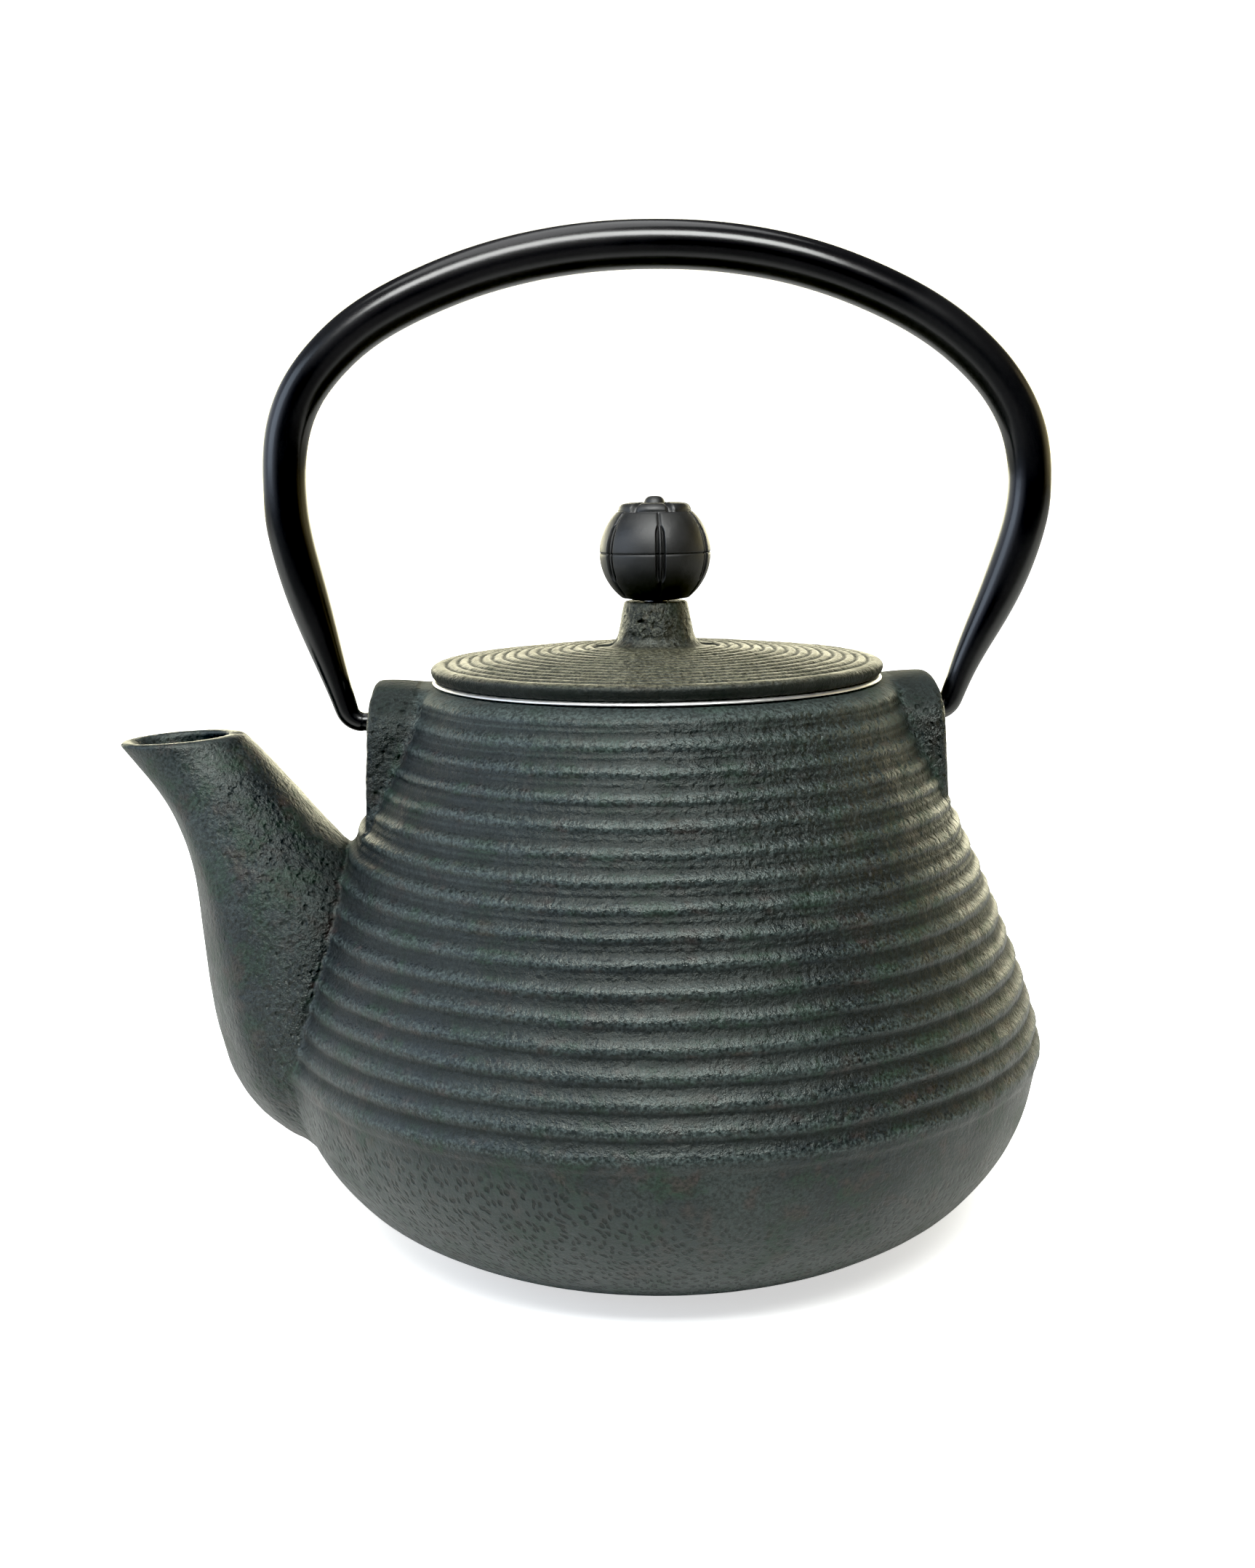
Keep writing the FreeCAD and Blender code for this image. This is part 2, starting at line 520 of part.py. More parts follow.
# stem: straight shank with a peened head under a washer, all below the lid
knob_stem = turned("knob_stem", [
    ("0", "lid_under_z - 0.1 - washer_thick - head_height"),
    ("head_radius - 1.6", "lid_under_z - 0.1 - washer_thick - head_height"),
    ("head_radius - 0.4", "lid_under_z - 0.1 - washer_thick - 0.6*head_height"),
    ("head_radius", "lid_under_z - 0.1 - washer_thick - 0.1*head_height"),
    ("head_radius", "lid_under_z - 0.1 - washer_thick"),
    ("stem_radius", "lid_under_z - 0.1 - washer_thick"),
    ("stem_radius", "stem_top_z"), ("0", "stem_top_z")])
knob_washer = turned("knob_washer", [
    ("stem_radius + 0.05", "lid_under_z - 0.1 - washer_thick"), ("washer_radius", "lid_under_z - 0.1 - washer_thick"),
    ("washer_radius", "lid_under_z - 0.1"), ("stem_radius + 0.05", "lid_under_z - 0.1")])

# ---------------------------------------------------------------- infuser
infuser_rim = turned("infuser_rim", [
    ("collar_in", "collar_z"), ("collar_out", "collar_z"), ("collar_out", "mouth_z"),
    ("rim_radius - 0.22", "mouth_z"), ("rim_radius", "mouth_z + 0.2"),
    ("rim_radius", "mouth_z + rim_thick - 0.2"), ("rim_radius - 0.22", "mouth_z + rim_thick"),
    ("collar_in", "mouth_z + rim_thick")])
infuser_mesh_wall = turned("infuser_mesh_wall", [
    ("mesh_in", "cup_z + cup_floor + floor_mesh_thick + 0.1"), ("mesh_out", "cup_z + cup_floor + floor_mesh_thick + 0.1"),
    ("mesh_out", "mesh_top_z"), ("mesh_in", "mesh_top_z")])
infuser_mesh_floor = turned("infuser_mesh_floor", [
    ("0", "cup_z + cup_floor + 0.02"), ("floor_mesh_radius", "cup_z + cup_floor + 0.02"),
    ("floor_mesh_radius", "cup_z + cup_floor + floor_mesh_thick"), ("0", "cup_z + cup_floor + floor_mesh_thick")])
infuser_base_ring = turned("infuser_base_ring", [
    ("cup_lip_radius", "cup_z"), ("cup_out - 0.8", "cup_z"), ("cup_out", "cup_z + 0.8"), ("cup_out", "cup_wall_z"),
    ("cup_in", "cup_wall_z"), ("cup_in", "cup_z + cup_floor"), ("cup_lip_radius", "cup_z + cup_floor")])

# ---------------------------------------------------------------- checks and export
doc.recompute()
bad = [o.Name for o in doc.Objects if any(s in ("Invalid", "Error") for s in o.State)]
if bad:
    raise RuntimeError("failed objects: %s" % bad)
NODES = [pot_body, handle, lid, knob, knob_stem, knob_washer, infuser_rim,
         infuser_mesh_wall, infuser_mesh_floor, infuser_base_ring]
for node in NODES:
    s = node.Shape
    if s.isNull() or not s.isValid() or s.Volume <= 0:
        raise RuntimeError("bad shape: " + node.Label)
    print(node.Label, "solids", len(s.Solids), "volume %.1f" % s.Volume,
          "box", [round(v, 2) for v in (s.BoundBox.XMin, s.BoundBox.XMax, s.BoundBox.YMin,
                                        s.BoundBox.YMax, s.BoundBox.ZMin, s.BoundBox.ZMax)])
    if len(s.Solids) != 1:
        raise RuntimeError("not one solid: " + node.Label)

# true capacity up to the mouth, infuser out
print("capacity ml %.0f" % (pot_cavity.Shape.Volume / 1000.0))
os.makedirs("parts", exist_ok=True)
for node in NODES:
    node.Shape.exportStep(os.path.join("parts", node.Label + ".step"))
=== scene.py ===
import math
import bpy
import numpy as np
from mathutils import Matrix, Vector


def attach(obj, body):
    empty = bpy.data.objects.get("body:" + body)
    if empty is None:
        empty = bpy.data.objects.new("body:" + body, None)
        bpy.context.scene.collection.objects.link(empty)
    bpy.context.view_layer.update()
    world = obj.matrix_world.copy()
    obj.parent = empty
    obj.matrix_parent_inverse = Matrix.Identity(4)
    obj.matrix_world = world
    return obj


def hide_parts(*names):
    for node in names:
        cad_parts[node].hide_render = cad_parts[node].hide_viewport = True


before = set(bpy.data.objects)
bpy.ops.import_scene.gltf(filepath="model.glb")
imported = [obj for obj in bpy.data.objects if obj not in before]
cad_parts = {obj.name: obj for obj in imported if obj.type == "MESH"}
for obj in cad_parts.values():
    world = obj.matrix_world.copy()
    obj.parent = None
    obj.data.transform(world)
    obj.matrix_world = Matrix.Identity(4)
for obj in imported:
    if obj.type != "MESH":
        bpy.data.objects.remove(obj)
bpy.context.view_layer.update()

MM = 0.001
scene = bpy.context.scene


# ------------------------------------------------------------------ numbers
PITCH, RIB0 = 4.145, 36.70
CREST = [72.47, 71.58, 70.39, 69.01, 67.56, 65.93, 64.37, 62.56, 60.85, 58.95,
         57.02, 55.06, 53.10, 51.15, 49.20, 47.25, 45.30]
BOWL = [(40, 0), (45.6, 1.75), (49.6, 3.4), (53.1, 5.1), (55.9, 6.8), (58.3, 8.4), (60.4, 10.1),
        (62.1, 11.8), (63.5, 13.45), (64.8, 15.1), (66.0, 16.8), (68.0, 20.2), (69.5, 23.6),
        (70.6, 27.0), (71.3, 30.3), (71.75, 33.0), (71.95, 36.0)]
CAVITY = [(0, 4.2), (38.0, 4.2), (45.5, 5.4), (51.0, 7.8), (55.5, 11.0), (59.8, 15.6), (63.6, 21.0),
          (66.2, 27.0), (67.5, 33.0), (68.0, 38.0), (66.4, 46.0), (63.6, 54.3), (60.5, 62.0),
          (57.1, 70.0), (53.4, 78.1), (49.5, 86.4), (45.6, 94.7), (43.0, 99.0), (38.3, 101.4),
          (37.5, 102.4), (37.5, 112.0), (0, 112.0)]
SPOUT = [(10.0, -52.0, -28.0, 8.0), (14.0, -63.5, -30.0, 11.5), (18.0, -72.3, -32.0, 15.5), (22.0, -77.4, -33.5, 19.0),
         (27.0, -81.3, -34.5, 22.3), (33.0, -84.0, -35.5, 24.8), (40.0, -85.6, -37.0, 25.9),
         (48.0, -86.8, -39.5, 25.0), (57.0, -87.6, -43.5, 23.0), (65.0, -88.2, -49.8, 20.8),
         (71.0, -89.0, -56.6, 18.2), (76.5, -90.5, -61.9, 15.6), (82.0, -92.8, -66.4, 13.2),
         (87.5, -96.2, -70.9, 11.3), (91.5, -99.3, -74.3, 10.2), (95.25, -102.2, -77.8, 9.5),
         (99.0, -105.1, -81.3, 9.0)]
CHANNEL = [(24.5, -74.5, -52.0, 11.0), (28.0, -78.0, -50.0, 16.0), (33.0, -80.8, -48.0, 20.0), (40.0, -82.5, -46.0, 22.0),
           (48.0, -83.7, -46.0, 21.4), (57.0, -84.5, -48.0, 19.6), (65.0, -85.1, -54.0, 17.4),
           (71.0, -85.9, -60.3, 15.0), (76.5, -87.4, -65.4, 12.6), (82.0, -89.8, -69.9, 10.4),
           (87.5, -93.2, -74.4, 8.7), (91.5, -96.4, -77.8, 7.7), (95.25, -99.9, -81.4, 7.15),
           (99.0, -103.0, -84.6, 6.9)]


# ------------------------------------------------------------------ helpers
def sstep(a, b, x):
    t = np.clip((x - a) / (b - a), 0.0, 1.0)
    return t * t * (3 - 2 * t)


def smin(a, b, k):
    h = np.clip(0.5 + 0.5 * (b - a) / k, 0.0, 1.0)
    return b * (1 - h) + a * h - k * h * (1 - h)


def smax(a, b, k):
    return -smin(-a, -b, k)


def hermite(xs, ys, x):
    """Monotone cubic through the points."""
    xs, ys = np.asarray(xs, float), np.asarray(ys, float)
    h = np.diff(xs)
    d = np.diff(ys) / h
    m = np.zeros(len(xs))
    m[0], m[-1] = d[0], d[-1]
    for i in range(1, len(xs) - 1):
        if d[i - 1] * d[i] > 0:
            w1, w2 = 2 * h[i] + h[i - 1], h[i] + 2 * h[i - 1]
            m[i] = (w1 + w2) / (w1 / d[i - 1] + w2 / d[i])
    k = np.clip(np.searchsorted(xs, x) - 1, 0, len(h) - 1)
    t = np.clip((x - xs[k]) / h[k], 0.0, 1.0)
    return ((1 + 2 * t) * (1 - t) ** 2 * ys[k] + t * (1 - t) ** 2 * h[k] * m[k]
            + t * t * (3 - 2 * t) * ys[k + 1] + t * t * (t - 1) * h[k] * m[k + 1])


def hashed(ix, iy, iz, seed):
    h = (ix * 73856093) ^ (iy * 19349663) ^ (iz * 83492791) ^ (seed * 668265263)
    h &= 0x7FFFFFFF
    h = (h ^ (h >> 13)) * 1274126177 & 0x7FFFFFFF
    h = (h ^ (h >> 16)) * 2246822519 & 0x7FFFFFFF
    return (h & 0xFFFFF) / float(0xFFFFF) * 2.0 - 1.0


def noise3(x, y, z, seed=0):
    """Value noise from -1 to 1 with a smooth fall between lattice points."""
    fx, fy, fz = np.floor(x), np.floor(y), np.floor(z)
    ix, iy, iz = fx.astype(np.int64), fy.astype(np.int64), fz.astype(np.int64)
    u, v, w = x - fx, y - fy, z - fz
    u, v, w = (a * a * a * (a * (a * 6 - 15) + 10) for a in (u, v, w))
    out = 0.0
    for a in (0, 1):
        for b in (0, 1):
            for c in (0, 1):
                out = out + (u if a else 1 - u) * (v if b else 1 - v) * (w if c else 1 - w) * hashed(
                    ix + a, iy + b, iz + c, seed)
    return out


def fbm(x, y, z, scale, octaves=3, seed=0, gain=0.5):
    out, amp = 0.0, 1.0
    for o in range(octaves):
        out = out + amp * noise3(x / scale, y / scale, z / scale, seed + o * 17)
        scale *= 0.5
        amp *= gain
    return out


def polygon_table(points, r_axis, z_axis):
    """Signed distance to a closed polygon, negative inside, on a grid."""
    R, Z = np.meshgrid(r_axis, z_axis, indexing="ij")
    best = np.full(R.shape, 1e9)
    inside = np.zeros(R.shape, bool)
    n = len(points)
    for i in range(n):
        (ax, ay), (bx, by) = points[i], points[(i + 1) % n]
        ex, ey = bx - ax, by - ay
        t = np.clip(((R - ax) * ex + (Z - ay) * ey) / max(ex * ex + ey * ey, 1e-12), 0, 1)
        best = np.minimum(best, (R - ax - t * ex) ** 2 + (Z - ay - t * ey) ** 2)
        if by != ay:
            cross = ((ay > Z) != (by > Z)) & (R < (bx - ax) * (Z - ay) / (by - ay) + ax)
            inside ^= cross
    d = np.sqrt(best)
    return np.where(inside, -d, d)


class Table:
    def __init__(self, a0, da, b0, db, values):
        self.a0, self.da, self.b0, self.db, self.v = a0, da, b0, db, values

    def __call__(self, a, b):
        n, m = self.v.shape
        x = np.clip((a - self.a0) / self.da, 0, n - 1.001)
        y = np.clip((b - self.b0) / self.db, 0, m - 1.001)
        i, j = x.astype(np.int32), y.astype(np.int32)
        u, w = x - i, y - j
        v = self.v
        return ((v[i, j] * (1 - u) + v[i + 1, j] * u) * (1 - w)
                + (v[i, j + 1] * (1 - u) + v[i + 1, j + 1] * u) * w)


def make_mesh(name, verts, faces, smooth=True, attrs=None):
    mesh = bpy.data.meshes.new(name)
    mesh.from_pydata([tuple(v) for v in np.asarray(verts, float) * MM], [], [list(map(int, f)) for f in faces])
    mesh.validate()
    mesh.update()
    if smooth:
        mesh.polygons.foreach_set("use_smooth", [True] * len(mesh.polygons))
    for key, val in (attrs or {}).items():
        a = mesh.attributes.new(key, "FLOAT", "POINT")
        a.data.foreach_set("value", np.asarray(val, np.float32))
    obj = bpy.data.objects.new(name, mesh)
    scene.collection.objects.link(obj)
    return obj


def polar_nets(field, th, r, z):
    """Surface nets of field(th, r, z) < 0 on a grid that closes round in th.
    Returns vertices as (theta, r, z), the cell of each and quads."""
    nt, nr, nz = len(th), len(r), len(z)
    f = np.empty((nt, nr, nz), np.float32)
    RR, ZZ = np.meshgrid(r, z, indexing="ij")
    step = max(1, int(400000 / (nr * nz)))
    for s in range(0, nt, step):
        t = th[s:s + step]
        T = t[:, None, None]
        f[s:s + step] = field(np.broadcast_to(T, (len(t), nr, nz)), np.broadcast_to(RR, (len(t), nr, nz)),
                              np.broadcast_to(ZZ, (len(t), nr, nz)))
    f[np.abs(f) < 1e-5] = 1e-5
    neg = f < 0
    nxt = np.roll(neg, -1, axis=0)
    count = np.zeros((nt, nr - 1, nz - 1), np.int8)
    for a in (neg, nxt):
        for j in (0, 1):
            for k in (0, 1):
                count += a[:, j:nr - 1 + j, k:nz - 1 + k]
    active = (count > 0) & (count < 8)
    ci, cj, ck = np.nonzero(active)
    index = np.full(active.shape, -1, np.int64)
    index[ci, cj, ck] = np.arange(len(ci))
    corner = {}
    for a in (0, 1):
        for b in (0, 1):
            for c in (0, 1):
                corner[a, b, c] = f[(ci + a) % nt, cj + b, ck + c].astype(float)
    total = np.zeros((len(ci), 3))
    hits = np.zeros(len(ci))
    for axis in range(3):
        for p in (0, 1):
            for q in (0, 1):
                lo = [p, q]
                lo.insert(axis, 0)
                hi = list(lo)
                hi[axis] = 1
                A, B = corner[tuple(lo)], corner[tuple(hi)]
                cross = (A < 0) != (B < 0)
                t = np.where(cross, A / np.where(cross, A - B, 1.0), 0.0)
                for ax in range(3):
                    total[:, ax] += np.where(cross, t if ax == axis else lo[ax], 0.0)
                hits += cross
    local = total / hits[:, None]
    th2 = np.append(th, th[0] + 2 * math.pi)
    tv = th2[ci] + (th2[ci + 1] - th2[ci]) * local[:, 0]
    rv = r[cj] + (r[cj + 1] - r[cj]) * local[:, 1]
    zv = z[ck] + (z[ck + 1] - z[ck]) * local[:, 2]
    quads = []
    # edges along r
    a, b = neg[:, :-1, 1:-1], neg[:, 1:, 1:-1]
    i, j, k = np.nonzero(a != b)
    flip = a[i, j, k]
    k = k + 1
    im = (i - 1) % nt
    q = np.stack([index[im, j, k - 1], index[i, j, k - 1], index[i, j, k], index[im, j, k]], 1)
    quads.append(np.where(flip[:, None], q, q[:, ::-1]))
    # edges along theta
    a, b = neg[:, 1:-1, 1:-1], nxt[:, 1:-1, 1:-1]
    i, j, k = np.nonzero(a != b)
    flip = a[i, j, k]
    j, k = j + 1, k + 1
    q = np.stack([index[i, j - 1, k - 1], index[i, j, k - 1], index[i, j, k], index[i, j - 1, k]], 1)
    quads.append(np.where(flip[:, None], q[:, ::-1], q))
    # edges along z
    a, b = neg[:, 1:-1, :-1], neg[:, 1:-1, 1:]
    i, j, k = np.nonzero(a != b)
    flip = a[i, j, k]
    j = j + 1
    im = (i - 1) % nt
    q = np.stack([index[im, j - 1, k], index[i, j - 1, k], index[i, j, k], index[im, j, k]], 1)
    quads.append(np.where(flip[:, None], q[:, ::-1], q))
    quads = np.concatenate(quads)
    caps = []
    hole = [(kk, sgn) for kk in range(nz - 1) for sgn in (0,) if (neg[:, 0, kk] != neg[:, 0, kk + 1]).all()]
    for kk, _ in hole:
        ring = index[:, 0, kk]
        if (ring >= 0).all():
            caps.append((ring, bool(neg[0, 0, kk])))
    return np.stack([tv, rv, zv], 1), np.stack([ci, cj, ck], 1), quads, caps


def project(fun, P, rounds=3, eps=0.02, limit=0.6):
    """Newton steps of the points onto fun = 0, and the unit gradient there."""
    P = P.copy()
    start = P.copy()
    for _ in range(rounds):
        g = np.stack([(fun(P + e) - fun(P - e)) / (2 * eps) for e in np.eye(3) * eps], 1)
        n2 = np.maximum((g * g).sum(1), 0.05)
        step = -(fun(P) / n2)[:, None] * g
        size = np.linalg.norm(step, axis=1, keepdims=True)
        step *= np.minimum(1.0, 0.3 / np.maximum(size, 1e-9))
        P += step
        move = P - start
        size = np.linalg.norm(move, axis=1, keepdims=True)
        P = start + move * np.minimum(1.0, limit / np.maximum(size, 1e-9))
    g = np.stack([(fun(P + e) - fun(P - e)) / (2 * eps) for e in np.eye(3) * eps], 1)
    g /= np.maximum(np.linalg.norm(g, axis=1, keepdims=True), 1e-9)
    return P, g


def with_caps(verts, quads, caps):
    faces = [list(q) for q in quads]
    verts = list(verts)
    extra = []
    for ring, below in caps:
        c = np.mean([verts[i] for i in ring], axis=0)
        verts.append(c)
        extra.append(ring[0])
        m = len(verts) - 1
        n = len(ring)
        for i in range(n):
            a, b = ring[i], ring[(i + 1) % n]
            faces.append([m, a, b] if below else [m, b, a])
    return np.array(verts), faces, extra


# ------------------------------------------------------------------ pot form
zs = np.linspace(-2.0, 112.0, 2281)
bowl_r = hermite([p[1] for p in BOWL], [p[0] for p in BOWL], zs)
bowl_r = np.where(zs < 0, 40.0 + 3.2 * zs, bowl_r)
crest_z = [RIB0 - 3.0] + [RIB0 + PITCH * i for i in range(17)] + [RIB0 + PITCH * 17, RIB0 + PITCH * 18]
crest_r = [72.75] + CREST + [43.2, 41.2]
env_r = hermite(crest_z, crest_r, zs)
smooth_r = np.where(zs < 34.6, bowl_r, env_r)
slope = np.gradient(np.convolve(np.pad(smooth_r, 20, "edge"), np.ones(41) / 41, "valid"), zs)
cos_a = 1.0 / np.sqrt(1.0 + slope ** 2)

# drop of the surface below the crest line, one rib pitch, going down from a crest
UPPER = [(0, 0), (0.07, -0.03), (0.16, -0.17), (0.24, -0.40), (0.31, -0.53), (0.36, -0.53), (0.41, -0.44), (0.455, -0.39),
         (0.50, -0.43), (0.56, -0.56), (0.62, -0.62), (0.69, -0.57), (0.78, -0.36), (0.87, -0.14), (0.94, -0.03), (1, 0)]
LOWER = [(0, 0), (0.08, -0.03), (0.18, -0.15), (0.27, -0.36), (0.36, -0.57), (0.43, -0.64), (0.50, -0.60), (0.57, -0.49),
         (0.64, -0.40), (0.71, -0.35), (0.78, -0.26), (0.87, -0.11), (0.94, -0.03), (1, 0)]
us = np.linspace(0, 1, 401)
upper_h = hermite([p[0] for p in UPPER], [p[1] for p in UPPER], us)
lower_h = hermite([p[0] for p in LOWER], [p[1] for p in LOWER], us)

# slow unevenness round the pot, as a table over angle and height
ta = np.linspace(-math.pi, math.pi, 721)
za = np.linspace(30, 108, 235)
TA, ZA = np.meshgrid(ta, za, indexing="ij")
CX, CY = np.cos(TA) * 60, np.sin(TA) * 60
warp_tab = Table(-math.pi, ta[1] - ta[0], 30, za[1] - za[0],
                 0.16 * fbm(CX, CY, ZA * 1.5, 22.0, 2, 3) + 0.07 * fbm(CX, CY, ZA * 1.5, 5.0, 2, 5))
rough_side = sstep(0.1, 0.8, np.cos(TA - math.radians(-28)))
amp_tab = Table(-math.pi, ta[1] - ta[0], 30, za[1] - za[0],
                1.0 + 0.22 * fbm(CX, CY, ZA * 1.3, 9.0, 3, 11) + 0.0 * rough_side)
lump_tab = Table(-math.pi, ta[1] - ta[0], 30, za[1] - za[0],
                 (0.05 + 0.07 * rough_side) * fbm(CX, CY, ZA, 3.4, 3, 23, 0.6))


def lerp(xs_, ys_, x):
    return np.interp(x, xs_, ys_)


def body_out(T, rho, Z):
    """The turned outside of the pot, ribs included."""
    warp = warp_tab(T, Z)
    u = (-(Z - RIB0 - warp) / PITCH) % 1.0
    up = np.interp(u, us, upper_h)
    low = np.interp(u, us, lower_h)
    t = sstep(44.0, 78.0, Z)
    h = (low * (1 - t) + up * t) * amp_tab(T, Z)
    first = sstep(36.9, 36.3, Z)
    h = h * (1 - 0.72 * first)
    top = sstep(101.6, 102.6, Z)
    h = h * (1 - top)
    rib = np.interp(Z, zs, env_r) + h + lump_tab(T, Z)
    bowl = np.interp(Z, zs, bowl_r)
    s = sstep(33.9, 35.4, Z - 1.6 * warp)
    R = bowl * (1 - s) + rib * s
    d = (rho - R) * np.interp(Z, zs, cos_a)
    ztop = 104.6 - 0.082 * np.clip(rho - 40.4, 0.0, 5.4) ** 2
    d = smax(d, (Z - ztop) * 0.95, 0.6)
    return smax(d, -Z, 0.8)


def sections(rows):
    z = np.array([r[0] for r in rows])
    zz = np.linspace(z[0], z[-1], 700)
    c = hermite(z, [(r[1] + r[2]) / 2 for r in rows], zz)
    a = hermite(z, [(r[2] - r[1]) / 2 for r in rows], zz)
    b = hermite(z, [r[3] for r in rows], zz)
    k = np.ones(25) / 25

    def soft(v):
        return np.convolve(np.pad(v, 12, "reflect", reflect_type="odd"), k, "valid")
    c, a, b = soft(c), soft(a), soft(b)
    return zz, c, a, b, np.gradient(c, zz), np.gradient(a, zz), np.gradient(b, zz)


SP, CH = sections(SPOUT), sections(CHANNEL)


def oval(tab, X, Y, Z, ridge=False):
    zz, c, a, b, dc, da, db = tab
    c, a, b, dc, da, db = (np.interp(Z, zz, v) for v in (c, a, b, dc, da, db))
    xi, eta = (X - c) / a, Y / b
    q = np.maximum(np.hypot(xi, eta), 1e-4)
    gx, gy = xi / (a * q), eta / (b * q)
    gz = -xi / q * dc / a - (xi ** 2 * da / a + eta ** 2 * db / b) / q
    lift = 0.0
    if ridge:
        ang = np.degrees(np.arctan2(np.abs(eta), -xi))
        edge = 50.0 + 0.10 * (60.0 - Z)
        m = sstep(91, 82, Z) * sstep(14, 30, Z)
        lift = m * (0.026 * np.exp(-((ang - edge) / 11.0) ** 2) - 0.016 * np.exp(-((ang - edge + 26) / 13.0) ** 2)
                    - 0.010 * np.exp(-((ang - edge - 26) / 15.0) ** 2))
    return np.clip((q - 1 - lift) / np.sqrt(gx ** 2 + gy ** 2 + gz ** 2), -14, 14)


def lip_plane(X, Z):
    return (Z - (95.25 + (X + 90.0) * 0.0533)) * 0.9986


arch = [(15 * math.cos(math.radians(a)), 105.2 - 9.5 + 9.5 * (max(math.sin(math.radians(a)), 0.0) ** 0.85))
        for a in range(0, 181, 6)] + [(-15, 66), (15, 66)]
ARCH = Table(-22, 0.25, 64, 0.25, polygon_table(arch, np.arange(-22, 22.01, 0.25), np.arange(64, 112.01, 0.25)))
CAV = Table(0, 0.5, -2, 0.5, polygon_table([(-p[0], p[1]) for p in CAVITY[::-1]] + CAVITY,
                                             np.arange(0, 106.01, 0.5), np.arange(-2, 116.01, 0.5)))


def lug(side, X, Y, Z):
    out = 53.3 if side < 0 else 52.1
    x = X * side
    face = (x - (out + 1.6 * (105.2 - Z) / 31.2)) * 0.9987
    top_slope = (Z - (105.7 - 0.21 * np.maximum(out - 3.0 - x, 0.0))) * 0.98
    d = smax(ARCH(Y, Z), top_slope, 0.8)
    d = smax(d, face, 1.7)
    return smax(d, 41.0 - x, 0.5)


def pot_field(T, rho, Z):
    X, Y = rho * np.cos(T), rho * np.sin(T)
    body = body_out(T, rho, Z)
    d = body
    # spout
    near = (X < -24) & (np.abs(Y) < 34) & (Z > 6)
    if near.any():
        x, y, z = X[near], Y[near], Z[near]
        s = smax(oval(SP, x, y, z, True), 9.5 - z, 1.0)
        s = smax(s, lip_plane(x, z), 0.9)
        k = 1.3 + 1.7 * sstep(50, 34, z)
        b = body[near]
        m = smin(b, s, k)
        ch = np.maximum(oval(CH, x, y, z), 24.5 - z)
        ch = smax(ch, -b + 0.15, 0.6)
        m = smax(m, -ch, 0.9)
        port = np.maximum(np.hypot(y, z - 46.0) - 10.5, np.maximum(-79.5 - x, x + 50.0))
        m = smax(m, -port, 0.5)
        d = d.copy()
        d[near] = m
    for side in (-1, 1):
        near = (X * side > 38) & (np.abs(Y) < 19) & (Z > 68)
        if near.any():
            x, y, z = X[near], Y[near], Z[near]
            g = lug(side, x, y, z)
            m = smin(d[near], g, 0.75)
            hole = np.maximum(np.hypot(y, z - 97.4) - 1.88, 46.8 - x * side)
            d = d.copy()
            d[near] = smax(m, -hole, 0.3)
    return smax(d, -CAV(rho, Z), 0.7)


def pot_fun(P):
    return pot_field(np.arctan2(P[:, 1], P[:, 0]), np.hypot(P[:, 0], P[:, 1]), P[:, 2])


